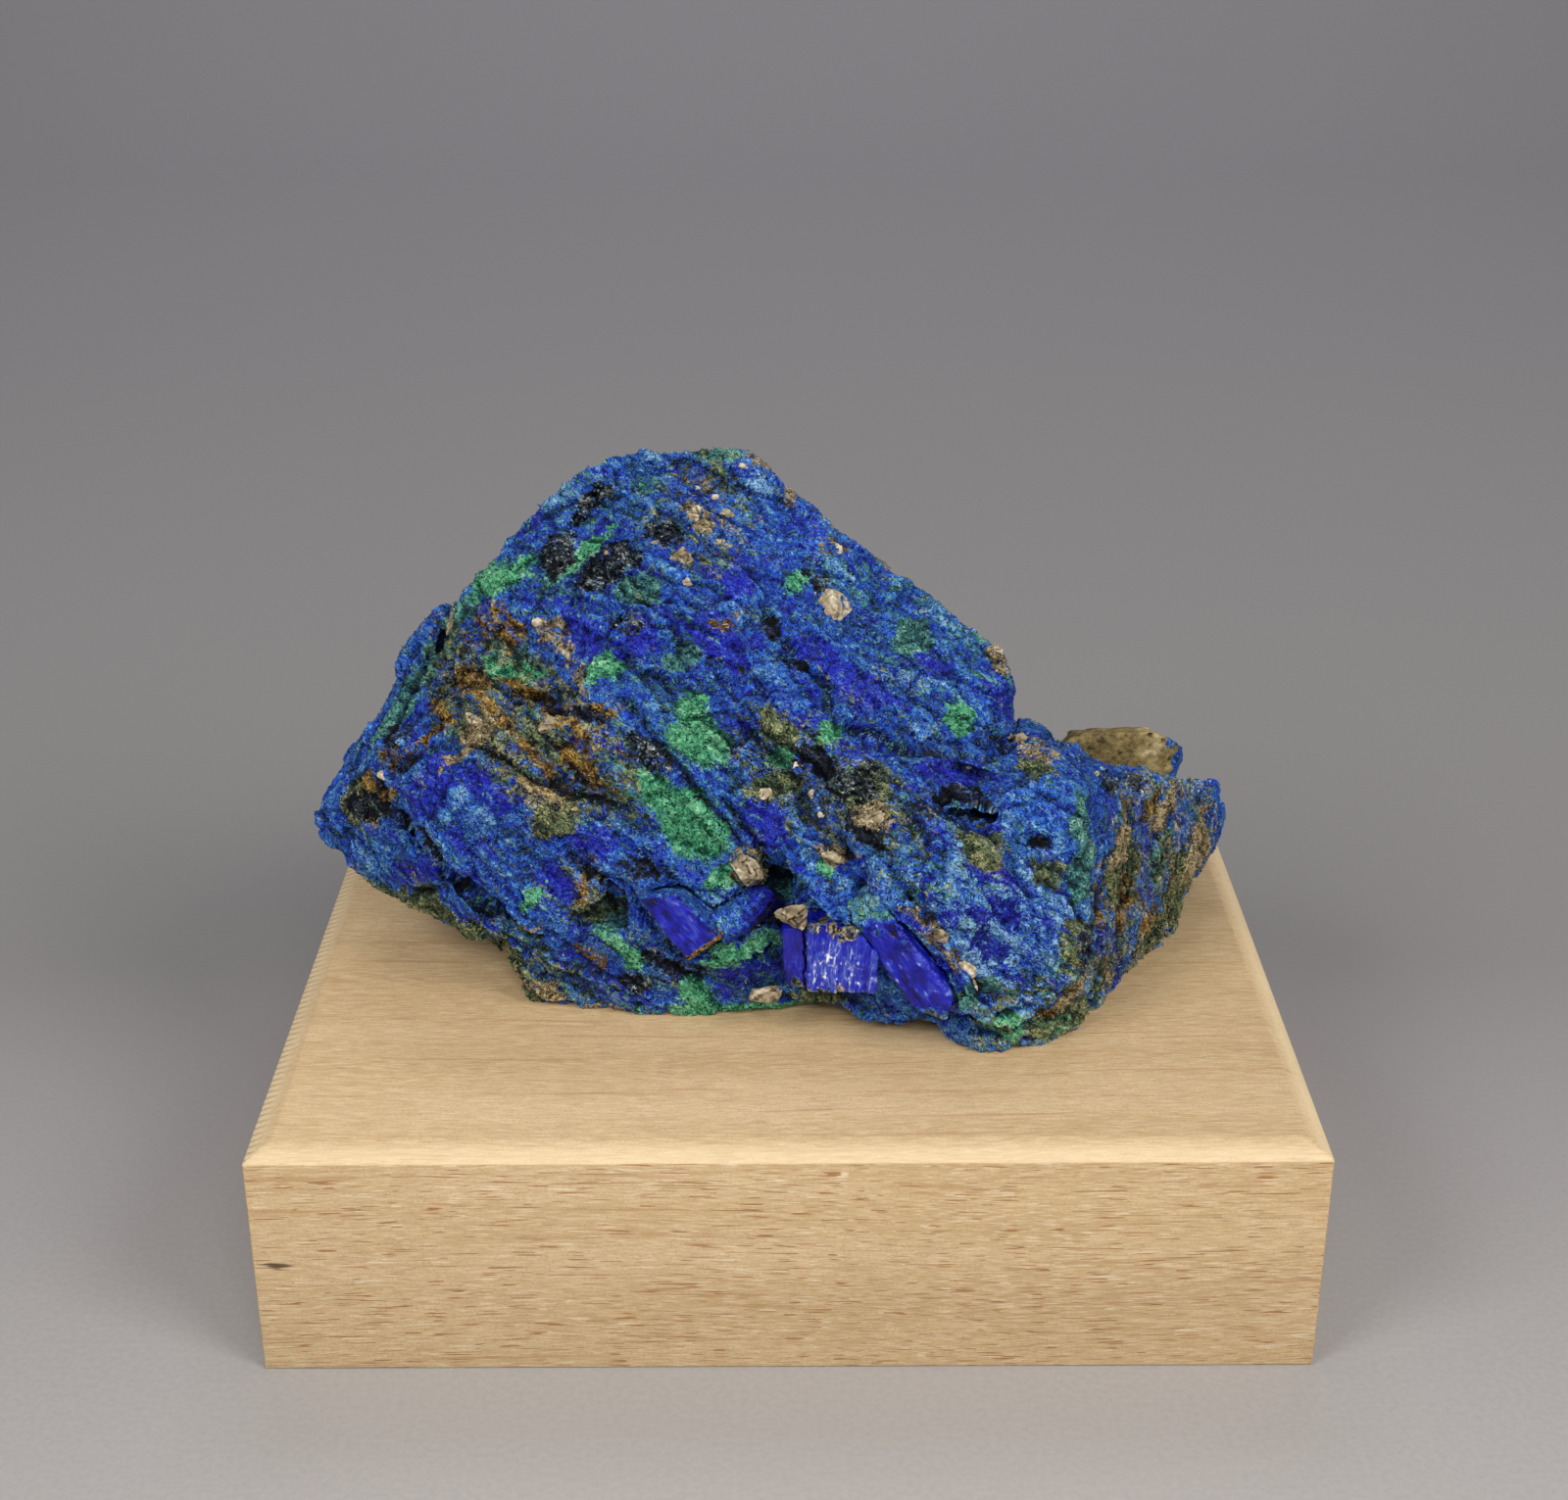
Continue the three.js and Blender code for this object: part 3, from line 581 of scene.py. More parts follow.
def paper_material():
    """Matt grey card with faint mottling, painted lighter in front and darker just behind the block, as
    painted light and shadow.
    """
    card = Finish("grey_card_matt")
    place = card.add("TexCoord")["Object"]
    # Painted light and shadow along the card: paler in front, darker just behind the block, paler again up
    # the wall.
    back = card.span(card.split(place)["Y"], -0.06, 0.54)
    greys_with_painted_shadow = ("#adabab", "#9d9b9c", "#8e8c8d", "#939192", "#999798", "#a4a2a4")
    sheet_with_painted_shadow = card.ramp(back, (0, 0.09, 0.17, 0.25, 0.4, 1), greys_with_painted_shadow)
    pulp = card.span(card.noise(place, 1500.0), 0.3, 0.7, 0.0, 0.2)
    return card.done({"Base Color": card.mix(pulp, sheet_with_painted_shadow, "#848284"), "Roughness": 0.9})


def make_stage():
    """A card floor that curves up behind the block."""
    half_wide, front, back, top = 1.2, -0.6, 1.0, 1.3
    bend, steps = 0.45, 24
    profile = [(front, 0.0)]
    for step in range(steps + 1):
        angle = math.pi / 2 * step / steps
        profile.append((back - bend + bend * math.sin(angle), bend - bend * math.cos(angle)))
    profile.append((back, top))
    points = [(side * half_wide, y, z) for y, z in profile for side in (-1, 1)]
    faces = [(n, n + 1, n + 3, n + 2) for n in range(0, len(points) - 2, 2)]
    card = put_in_scene("studio_card", mesh_of("studio_card", points, faces))
    select_only(card)
    bpy.ops.object.shade_smooth()
    card.data.materials.append(paper_material())


def make_light(name, place, aim, size, power, colour="#fffaf4"):
    """A soft box: a square lamp that looks at its aim."""
    lamp = bpy.data.lights.new(name, "AREA")
    lamp.shape = "SQUARE"
    lamp.size = size
    lamp.energy = power
    lamp.color = linear(colour)[:3]
    holder = put_in_scene(name, lamp)
    holder.location = place
    holder.rotation_euler = (Vector(aim) - Vector(place)).to_track_quat("-Z", "Y").to_euler()


def make_lights_and_camera():
    make_light("soft_box_left", (-0.36, -0.34, 0.44), (0, -0.01, 0.03), 0.26, 1.85)
    make_light("soft_box_right", (0.38, -0.34, 0.44), (0, -0.01, 0.03), 0.26, 2.2)
    make_light("soft_box_front", (0.04, -0.42, 0.34), (0, -0.05, 0.02), 0.20, 0.9)
    make_light("backdrop_lamp", (0, 0.50, 0.85), (0, 0.85, 0), 0.5, 2.4, "#f6f7ff")
    world = bpy.data.worlds.new("soft_room")
    world.use_nodes = True
    sky = world.node_tree.nodes["Background"]
    sky.inputs["Color"].default_value = linear("#cfd2d8")
    sky.inputs["Strength"].default_value = 0.17
    scene.world = world
    lens = bpy.data.cameras.new("show_camera")
    lens.lens = 54.77
    lens.sensor_width = 36
    lens.clip_start = 0.01
    camera = put_in_scene("show_camera", lens)
    camera.location = (-0.00048, -0.22443, 0.15079)
    camera.rotation_euler = (math.radians(65.55), math.radians(0.16), math.radians(-0.13))
    scene.camera = camera


# ---- the minerals' finishes ----

# Each mineral of the crust: how rough and how metallic it is, and its colours from the gaps to the tips.
FINISHES = {
    # A druse of tiny azurite blades: ultramarine in the gaps, dusty sky blue on the tips.
    "azurite": (
        0.55, 0, (0, 0.15, 0.34, 0.55, 0.76, 1),
        ("#121e44", "#142974", "#162f9e", "#1f4ac0", "#3478c8", "#8ebce0"),
    ),
    # Azurite broken across: clean faces of a deep violet blue.
    "deep": (0.42, 0, (0, 0.2, 0.45, 0.7, 1), ("#0a0c46", "#12147a", "#191ea6", "#2436b8", "#5a7ccc")),
    # Azurite passing into malachite: blue-green needles.
    "teal": (0.55, 0, (0, 0.25, 0.5, 0.75, 1), ("#12202c", "#264a54", "#3c7678", "#66a496", "#aed8c6")),
    # Olive crust, where malachite and rust mix.
    "olive": (0.65, 0, (0, 0.22, 0.45, 0.7, 1), ("#121814", "#2e3c30", "#52644a", "#868e62", "#c6c49c")),
    # Malachite in felted silky fibres: mint green with dark green gaps.
    "malachite": (0.55, 0, (0, 0.2, 0.42, 0.7, 1), ("#123830", "#2a6c52", "#489a70", "#70c094", "#b6e4c4")),
    # Limonite, an earthy iron rust: golden ochre to brown, quite matt.
    "limonite": (0.75, 0, (0, 0.25, 0.5, 0.75, 1), ("#16120c", "#40301a", "#7c5e2a", "#ae8e48", "#d8c490")),
    # The host rock showing through: cream to tan quartzy carbonate.
    "gangue": (0.65, 0, (0, 0.25, 0.5, 0.75, 1), ("#24211a", "#615843", "#968767", "#bcad86", "#e0d6b8")),
    # Chalcostibite itself: lead grey to black grains with a metal glitter, its brightest specks painted
    # glints of near white.
    "chalcostibite": (
        0.32, 0.45, (0, 0.3, 0.52, 0.72, 0.88, 1),
        ("#070a0e", "#161c24", "#2c353e", "#6a7478", "#b8bebc", "#f0f2ee"),
    ),
    # Nearly black: painted shade in the hollows, cavities and seams, and black specks where it mixes with
    # other minerals.
    "black_and_painted_shade": (
        0.6, 0, (0, 0.3, 0.5, 0.72, 0.88, 1),
        ("#06080c", "#10141e", "#1f2536", "#3c4456", "#6c6a60", "#aa9e86"),
    ),
}

# The groups of three numbers in which the shares of the minerals are kept on the mesh.
SHARE_GROUPS = {
    "greens": ("teal", "malachite", "olive"),
    "earths": ("limonite", "gangue", "black_and_painted_shade"),
    "blues": ("deep", "light", "chalcostibite"),
}


def crust_material():
    """The grown crust: felted crystals a few tenths of a mm long, with pale threads on their tips and painted
    shade in the gaps between, and the minerals broken into one another at their edges."""
    crust = Finish("azurite_malachite_crust")
    lay = crust.stored("lay")
    stirred = crust.pushed(lay, crust.noise(lay, 0.9, output="Color"), (1.3, 1.3, 1.3))
    long = crust.laid(stirred, (0.5, 1, 1))

    # Where each mineral shows, with edges broken far finer than the mesh.
    masks, amounts = {}, {}
    for number, (group, kinds) in enumerate(SHARE_GROUPS.items()):
        share = crust.split(crust.stored(group))
        moved = crust.laid(long, (1, 1, 1), (37.0 * number, 11.0, 5.0))
        break_up = crust.split(crust.noise(moved, 1.9, 4.0, 0.75, "Color"))
        for axis, kind in enumerate(kinds):
            amounts[kind] = share[axis]
            masks[kind] = crust.span(crust.weighted(break_up[axis], 2.6, share[axis]), 1.76, 1.88)

    # Fine curling lines: the pale tips of the tiny blades, and the cracks between them, cut into the bump and
    # painted with shade.
    curls = crust.split(crust.noise(stirred, 1.5, 2.0, 0.6, "Color"))
    lines = []
    for curl, wide, strength in ((curls[0], 0.035, 1.0), (curls[1], 0.026, 0.75)):
        off_line = crust.math("ABSOLUTE", crust.math("SUBTRACT", curl, 0.5))
        lines.append(crust.span(off_line, 0.008, wide, strength, 0.0))
    thread, painted_crack_shade = lines

    # How deep or pale each crystal is. Every broken blade has a shade and a felting of its own.
    blade = crust.split(crust.stored("blade"))
    crystals = crust.add("TexVoronoi", {"Vector": long, "Scale": 2.2})
    needles = crust.noise(long, 2.7, 2.0, 0.95)
    clouds = crust.noise(lay, 0.32)
    # The level sinks with painted shade in the hollows and the cracks.
    level = -0.59
    for value, weight in (
        (crust.split(crystals["Color"])[0], 0.16), (needles, 1.4), (clouds, 0.4), (blade[0], 0.12),
        (crust.stored("hollow", "Fac"), -0.75), (painted_crack_shade, -1.0),
    ):
        level = crust.weighted(value, weight, level)
    blue_level = crust.weighted(amounts["light"], 0.26, level)
    colour = crust.ramp(blue_level, *FINISHES["azurite"][2:])

    # The threads are sky blue to sea green, and fewer on clean faces.
    thread = crust.math("MULTIPLY", thread, crust.span(masks["deep"], 0, 1, 1.0, 0.25))
    thread = crust.math("MULTIPLY", thread, crust.span(blade[1], 0, 1, 0.15, 1.0))
    tip = crust.mix(crust.span(clouds, 0.42, 0.6), "#66a892", "#6e9cd0")

    # The other minerals over the azurite, each with its own gloss. The threads lie over the blue ones.
    rough, metal = FINISHES["azurite"][:2]
    for kind, (kind_rough, kind_metal, places, colours) in FINISHES.items():
        if kind == "azurite":
            continue
        colour = crust.mix(masks[kind], colour, crust.ramp(level, places, colours))
        rough = crust.add("Mix", {0: masks[kind], 2: rough, 3: kind_rough})[0]
        metal = crust.add("Mix", {0: masks[kind], 2: metal, 3: kind_metal})[0]
        if kind == "deep":
            colour = crust.mix(thread, colour, tip)

    relief = needles
    for value, weight in ((thread, 0.6), (crystals["Distance"], -0.7), (painted_crack_shade, -1.0)):
        relief = crust.weighted(value, weight, relief)
    return crust.done({
        "Base Color": colour, "Roughness": rough, "Metallic": metal, "Normal": crust.bump(relief, 0.16, 0.9),
        "IOR": 1.5, "Specular IOR Level": 0.14,
    })


def single_mineral(name, places, colours, grain=0.5, stretch=1.2, roughness=0.8):
    """One mineral alone. Its colours run from deep to pale, grain is the size of its texture in mm, and
    stretch how much longer than wide it is."""
    rock = Finish(name)
    lay = rock.stored("lay")
    needles = rock.noise(rock.laid(lay, (1 / (grain * stretch), 1 / grain, 1 / grain)), 1.0, 4.0, 0.62)
    clouds = rock.noise(lay, 0.5, 3.0)
    level = rock.weighted(clouds, 0.5, rock.weighted(needles, 1.0, rock.stored("pale", "Fac")))
    return rock.done({
        "Base Color": rock.ramp(rock.math("SUBTRACT", level, 0.75), places, colours),
        "Roughness": rock.span(clouds, 0.3, 0.7, roughness - 0.12, roughness + 0.12),
        "Normal": rock.bump(needles, 0.12, 0.8), "IOR": 1.6, "Specular IOR Level": 0.3,
    })


CRUST = crust_material()

# Azurite grown as one crystal: deep violet blue, glassy, paler where it is bruised or frosted, and near white
# where glints are painted on.
CRYSTAL = single_mineral(
    "azurite_crystal_glassy", (0, 0.22, 0.5, 0.7, 0.85, 1),
    ("#05062a", "#0c0e7c", "#181fb0", "#3a50bc", "#8d98d4", "#eceefa"), 0.25, 5.0, 0.26,
)

# Tan host rock, weathered and dull.
TAN_ROCK = single_mineral(
    "tan_host_rock_weathered", (0, 0.2, 0.42, 0.7, 1),
    ("#1c170e", "#5c4e30", "#857447", "#aa9a6c", "#e0d6b8"),
)

# The same rock broken into chips, paler and greyer.
CHIP_ROCK = single_mineral(
    "tan_host_rock_broken", (0, 0.2, 0.42, 0.7, 1),
    ("#1c1810", "#5e5342", "#8c7e64", "#b4a688", "#e8e0ce"),
)


def give_materials(piece, material, crusted):
    """Gives the piece its material, and the crust's to the faces whose first vertex is crusted."""
    piece.data.materials.append(material)
    piece.data.materials.append(CRUST)
    corners = read(piece.data.loops, "vertex_index").astype(int)
    first_corner = corners[read(piece.data.polygons, "loop_start").astype(int)]
    piece.data.polygons.foreach_set("material_index", crusted[first_corner].astype(np.int32))
    piece.data.update()


# ---- the ore ----


def make_ore():
    """The whole mass: blades, ledges, seams and pits sculpted on the CAD shape."""
    ore = finely_meshed(merged_copy("ore_mass", "ore_crust"), ORE_MESH)
    points = smoothed(ore, surface(ore)[0], 3)
    set_points(ore, points)
    normals = surface(ore)[1]
    lay, _ = laid_out(points)
    share, seen = mineral_map(points, normals, lay)
    seam = open_seams(points, seen)

    clean = np.clip((share["deep"] - 0.4) * 4, 0, 1)
    felted = np.clip((np.maximum(share["malachite"], share["teal"]) - 0.4) * 4, 0, 1)
    large, _ = blades(lay, 8, 2.8, 31)
    middle, blade = blades(lay, 3.2, 1.5, 33)
    small, _ = blades(lay, 1.5, 0.9, 34)
    height = 0.45 * large + 0.65 * ledges(lay, 4.2, 36) + (0.16 - 0.05 * clean) * middle
    height += (0.08 - 0.05 * clean) * small + (0.03 - 0.02 * clean + 0.05 * felted) * drift(points / 0.8, 35)
    height += 0.25 * np.clip(share["gangue"] - 0.45, 0, 0.8)
    height -= 0.8 * np.clip(share["black_and_painted_shade"] - 0.5, 0, 0.7) + seam
    points = keep_in_box(points + normals * height[:, None], "ore_mass", 0.8)
    set_points(ore, points)

    normals = surface(ore)[1]
    near = below_near(ore, points, normals, 4)
    wide = below_near(ore, points, normals, 20)
    # Painted shade: darker in the hollows, and a little lighter on the ridges.
    hollow = 0.5 * np.clip(near / 0.3, -0.25, 1) + 0.4 * np.clip(wide / 0.8, -0.3, 1)
    # Painted shade in the open seams.
    share["black_and_painted_shade"] += 0.35 * np.clip(seam, 0, 1)
    share["deep"] += 0.42 * (blade[:, 2] > 0.7) * (seam < 0.1)
    share["light"] += 0.22 * (blade[:, 2] < 0.2)
    keep_on_mesh(ore, share, lay=lay, hollow=hollow, blade=blade)
    ore.data.materials.append(CRUST)
    finish_piece(ore, "ore_crust", "ore_mass")
    return ore, {"share": share, "seen": seen, "hollow": hollow, "blade": blade, "open": seam}


# ---- the sugary crust ----

# The grains on top of each mineral: how thickly they stand, and their length, width and height in mm.
GRAINS = {
    "azurite": (0.8, 0.36, 0.13, 0.1),
    "teal": (1.0, 0.55, 0.11, 0.1),
    "malachite": (1.0, 0.55, 0.12, 0.11),
    "olive": (1.0, 0.45, 0.22, 0.16),
    "limonite": (0.9, 0.36, 0.24, 0.16),
    "gangue": (0.5, 0.5, 0.36, 0.2),
    "chalcostibite": (1.2, 0.4, 0.32, 0.26),
    "black_and_painted_shade": (0.3, 0.4, 0.26, 0.16),
    "light": (1.0, 0.42, 0.13, 0.12),
    "deep": (0.15, 0.3, 0.14, 0.08),
}
GRAIN_PIECES = 4
GRAINS_IN_PIECE = 20_000  # which keeps a piece under 200,000 triangles
HIDDEN_SHARE = 0.35  # the back and underside carry this share of the show side's grains

SHARD_POINTS = np.array(((1, 0, 0), (-1, 0, 0), (0, 1, 0), (0, -1, 0), (0.25, 0.1, 1), (-0.2, 0, -1)), float)
SHARD_FACES = np.array(
    ((0, 2, 4), (2, 1, 4), (1, 3, 4), (3, 0, 4), (2, 0, 5), (1, 2, 5), (3, 1, 5), (0, 3, 5))
)


def shard_mesh(name, centres, frames, sizes):
    """Grains as one mesh. frames holds each grain's three axes, sizes its half sizes in mm."""
    shaped = SHARD_POINTS[None] * sizes[:, None, :]
    points = centres[:, None, :] + np.einsum("gpa,gab->gpb", shaped, frames)
    faces = SHARD_FACES[None] + (np.arange(len(centres)) * len(SHARD_POINTS))[:, None, None]
    return mesh_of(name, points.reshape(-1, 3) * MM, faces.reshape(-1, 3))


def make_grains(ore, crust):
    """Strews grains over the ore, shaped for the mineral they stand on and laid along its grain."""
    share = crust["share"]
    chance = np.random.default_rng(7)
    ore.data.calc_loop_triangles()
    triangles = read(ore.data.loop_triangles, "vertices", 3).astype(int)
    corner = surface(ore)[0][triangles]
    cross = np.cross(corner[:, 1] - corner[:, 0], corner[:, 2] - corner[:, 0])
    area = np.linalg.norm(cross, axis=1) / 2
    normal = unit(cross)
    first = triangles[:, 0]
    bare = np.full(len(ore.data.vertices), 0.42)
    amounts = np.stack([bare] + [share[kind] for kind in GRAINS if kind != "azurite"], axis=1)
    table = np.array(list(GRAINS.values()))
    chosen = table[amounts.argmax(axis=1)]
    resting = corner[:, :, 2].min(axis=1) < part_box("ore_mass")[0].z / MM + 0.3
    wanted = area * chosen[first, 0] * np.where(crust["seen"][first], 1, HIDDEN_SHARE) * ~resting
    wanted *= crust["open"][first] < 0.2
    count = int(GRAIN_PIECES * GRAINS_IN_PIECE * (1))
    face = np.sort(chance.choice(len(area), count, p=wanted / wanted.sum()))
    pick = chance.random((count, 2))
    pick = np.where(pick.sum(axis=1, keepdims=True) > 1, 1 - pick, pick)
    spot = corner[face, 0] + pick[:, :1] * (corner[face, 1] - corner[face, 0])
    spot += pick[:, 1:] * (corner[face, 2] - corner[face, 0])
    _, angle = laid_out(spot)
    angle = angle + 0.5 * chance.normal(size=count)
    up = unit(normal[face] + 0.4 * chance.normal(size=(count, 3)))
    lay = np.stack((np.cos(angle), np.zeros(count), np.sin(angle)), axis=1)
    lay = unit(lay - up * (lay * up).sum(axis=1, keepdims=True))
    frames = np.stack((lay, np.cross(up, lay), up), axis=1)
    sizes = chosen[first[face], 1:] * 0.5 * np.exp(0.28 * chance.normal(size=(count, 1)))
    sizes *= 1 + 0.22 * chance.normal(size=(count, 3)).clip(-2, 2)
    centres = keep_in_box(spot + normal[face] * sizes[:, 2:] * 0.25, "ore_mass", 0.85)
    # Each grain takes the painted shade of the hollow it stands in, and a random tone of its own.
    painted_grain_shade_and_tone = crust["hollow"][first[face]] * 0.8 + 0.46 * (chance.random(count) - 0.52)
    for number in range(GRAIN_PIECES):
        part = slice(number * count // GRAIN_PIECES, (number + 1) * count // GRAIN_PIECES)
        label = f"crust_grains_{number + 1}"
        piece = put_in_scene(label, shard_mesh(label, centres[part], frames[part], sizes[part]))
        each = len(SHARD_POINTS)
        under = np.repeat(first[face[part]], each)
        keep_on_mesh(
            piece, {kind: share[kind][under] for kind in KINDS}, lay=laid_out(surface(piece)[0])[0],
            hollow=np.repeat(painted_grain_shade_and_tone[part], each), blade=crust["blade"][under],
        )
        piece.data.materials.append(CRUST)
        finish_piece(piece, "ore_crust")


# ---- chips of host rock in the crust ----

# Angular chips: mm to the right, mm up, long and short size in mm, and turn in degrees.
CHIPS = (
    (54.5, 44.5, 4.8, 3.8, -20), (39, 49.5, 3.6, 2.6, 10), (18.5, 33, 2.6, 2.4, -20), (41, 54, 2.8, 1.8, -60),
    (43.5, 54.5, 2, 1.5, -10), (54, 51, 3.2, 1.6, -15), (44, 42.8, 2.8, 1.4, 5), (26, 32.5, 2.2, 1.6, -10),
    (51.2, 28.2, 2.2, 1.7, 10), (52.2, 26, 2.4, 2, 40), (53, 24, 1.6, 1.2, -20), (68.2, 7, 2.4, 1.6, -40),
    (67, 8.9, 3.6, 2.4, -45), (8.2, 27.8, 1.5, 1.2, 0),
    (31.5, 50, 1.2, 1, 0), (47.5, 26, 1.8, 1.4, 10), (15.5, 44, 3.6, 1.2, 70), (24.5, 12.5, 1.2, 1, 0),
    (43, 51.4, 2, 1.2, 10), (44, 51, 0.9, 0.9, 0), (39.8, 47.3, 1.3, 1, 0), (36.6, 51.4, 1.6, 1.2, 20),
    (25.2, 43.2, 2, 1.5, 0), (26, 41.6, 2.8, 1.7, -50), (27.8, 39.6, 2.2, 1.2, -50), (40.5, 57, 1.5, 1.2, 0),
    (42.2, 56, 1.4, 1, 30), (45.3, 59.4, 2, 1.2, -20), (5.4, 26, 1.6, 1.2, 60), (64.8, 12, 2.4, 1.6, -50),
    (62.6, 14.4, 2.2, 1.3, -50), (54.4, 19.6, 3, 1.8, -10), (58, 23.6, 2.2, 1.8, 0), (75.4, 31, 3, 2.2, -20),
    (72, 40.4, 2.6, 1, -60), (50.4, 56.6, 2.6, 1, -75), (81.5, 27.5, 1.6, 0.8, 70), (68, 28.5, 1.2, 0.8, 0),
)

# Larger chips that lean on the crystals: their middle and size in mm, and their turn.
LEANING_CHIPS = (
    ((0.8, -18.3, 39), (3.8, 2.8, 3.4), -10), ((-1.8, -17.4, 29.8), (3.6, 2.8, 2.2), 25),
    ((-3.9, -13.4, 41.4), (3.6, 3, 4.8), 20),
)

CHIP_SIDES = 11


def make_chips(ore, seen):
    """Each chip is a ball cut flat on several sides, set into the crust, with its edges crumbled."""
    chance = np.random.default_rng(23)
    co, normals = surface(ore)
    right, up, _ = on_show_side(co)
    chips = []
    places = list(LEANING_CHIPS)
    for across, height, length, width, turn in CHIPS:
        nearest = np.argmin(np.hypot(right - across, up - height) + 1e6 * ~seen)
        places.append((co[nearest] - 0.18 * width * normals[nearest], (length, 0.8 * width, width), turn))
    for middle, size, turn in places:
        bpy.ops.mesh.primitive_ico_sphere_add(subdivisions=3, radius=0.62, location=(0, 0, 0))
        chip = bpy.context.active_object
        set_mode("EDIT")
        for _ in range(CHIP_SIDES):
            away = Vector(chance.normal(size=3)).normalized()
            bpy.ops.mesh.select_all(action="SELECT")
            bpy.ops.mesh.bisect(plane_co=away * (0.24 + 0.18 * chance.random()), plane_no=away,
                                use_fill=True, clear_outer=True)
        set_mode("OBJECT")
        chip.scale = Vector(size) * MM
        chip.rotation_euler = (0, -math.radians(turn), 0)
        chip.location = Vector(middle) * MM
        bpy.ops.object.transform_apply(location=True, rotation=True, scale=True)
        chips.append(finely_meshed(chip, CHIP_MESH))
    select_only(chips[0])
    for chip in chips:
        chip.select_set(True)
    bpy.ops.object.join()
    chips = bpy.context.active_object
    chips.name = "host_rock_chips"
    points, normals = surface(chips)
    cracks, tone = blades(points, 2.0, 1.3, 59)
    _, _, wall = packed_cells(points / 1.4 + 0.15 * drift(points / 0.5, 67)[:, None], 68)
    gap = np.clip(0.09 - wall, 0, 1) * (drift(points / 0.9, 71) > -0.1)
    height = 0.12 * cracks + 0.05 * drift(points / 0.35, 60) - 1.3 * gap
    moved = points + normals * height[:, None]
    set_points(chips, moved)
    hollow = below_near(chips, moved, normals, 8)
    pale = 0.37 + 0.24 * drift(points / 3, 58) + 0.2 * drift(points / 0.5, 72) + 0.3 * tone[:, 0]
    # Painted shade in the cracks and hollows of the chips.
    pale -= 4 * gap + 2.5 * np.clip(hollow, -0.05, 0.2)
    keep_on_mesh(
        chips, {"deep": 0.2, "light": 0.4, "teal": 0.3, "olive": 0.35, "black_and_painted_shade": 0.2},
        lay=along_grain(points, GRAIN_ANGLE), pale=pale, hollow=hollow, blade=tone,
    )
    give_materials(chips, CHIP_ROCK, drift(points / 2.2, 73) + 0.25 * drift(points / 0.6, 74) > 0.62)
    finish_piece(chips, "host_rock")


# ---- the crystals and the lump of host rock ----


GROWN_IN = 0.24  # mm, by which each crystal fills the gap round its CAD solid


def make_crystal(node, name, slot, sculpt):
    """A single crystal: its CAD shape with worn edges, then finely meshed and sculpted."""
    crystal = merged_copy(node, name)
    apply_modifier(crystal, "BEVEL", width=0.12 * MM, segments=2, limit_method="ANGLE")
    crystal = finely_meshed(crystal, CRYSTAL_MESH)
    points, normals = surface(crystal)
    lay, height, pale, share = sculpt(points, normals, in_own_box(points))
    set_points(crystal, points + normals * (height[:, None] + GROWN_IN))
    blade = np.stack((0.3 + 0 * pale, pale, pale), axis=1)
    # The crusted faces are darker where the crystal is less pale, taking in the painted shade and glints of
    # its sculpt.
    keep_on_mesh(crystal, share, lay=lay, pale=pale, hollow=0.1 - 0.6 * pale, blade=blade)
    give_materials(crystal, CRYSTAL, share["deep"] < 0.9)
    select_only(crystal)
    bpy.ops.object.shade_smooth_by_angle(angle=math.radians(28))
    finish_piece(crystal, slot, node)


def steps_across(value, salt):
    """Square-shouldered ribs: a height between 0 and 1 for each strip of one unit."""
    strip = np.stack((np.floor(value), np.zeros_like(value), np.zeros_like(value)), axis=1)
    return scramble(strip, salt)[:, 0]


def striated_sculpt(points, normals, share):
    """Upright ribs of several widths, broken into cleavage steps, under a rusty crust at the top. The raised
    ribs are painted paler as highlight, the middle carries painted sheen and glints, and the groove by the
    left panel is painted with shade.
    """
    lay = along_grain(points, math.radians(86))
    ribs = steps_across(lay[:, 1] / 0.62, 41) * 0.5 + steps_across(lay[:, 1] / 0.26, 42) * 0.3
    breaks = drift(points / np.array((1.2, 1.2, 0.7)), 43)
    middle = np.clip(1.35 - 2.1 * np.hypot(share[:, 0] - 0.58, (share[:, 2] - 0.38) * 0.9), 0, 1)
    # The steps carry painted glints in the middle, and a little relief.
    steps = np.clip(drift(lay / (0.45, 0.22, 0.3), 63) * 3 - 1.1, 0, 1)
    web = np.clip(1 - 5 * np.abs(drift(points / (0.4, 0.5, 1.3), 70)), 0, 1)
    panel_groove_painted_shade = np.abs(share[:, 0] - 0.24 + 0.02 * breaks) < 0.012
    crusted = np.abs(share[:, 2] - 0.48) + 0.16 * drift(points / 0.9, 44) - 0.06 * (ribs > 0.5) > 0.45
    # Painted highlight: paler on the raised ribs, and across the middle a painted sheen with a paler web and
    # rows of painted glints on the steps.
    pale = 0.3 + 0.28 * ribs + middle * (0.22 + 0.38 * steps + 0.26 * web)
    # Painted shade in the groove by the left panel, and between the low ribs of the left facet.
    pale -= 0.7 * panel_groove_painted_shade + 0.3 * (share[:, 0] < 0.22) * np.clip(0.4 - ribs, 0, 1)
    shares = {
        "deep": np.where(crusted, 0.1, 1.0), "black_and_painted_shade": 0.46,
        "olive": 0.5 + 0.3 * breaks, "gangue": 0.56 - 0.3 * breaks,
    }
    return lay, 0.26 * (ribs - 0.4) + 0.08 * breaks + 0.08 * steps * middle - 0.3 * panel_groove_painted_shade, pale, shares


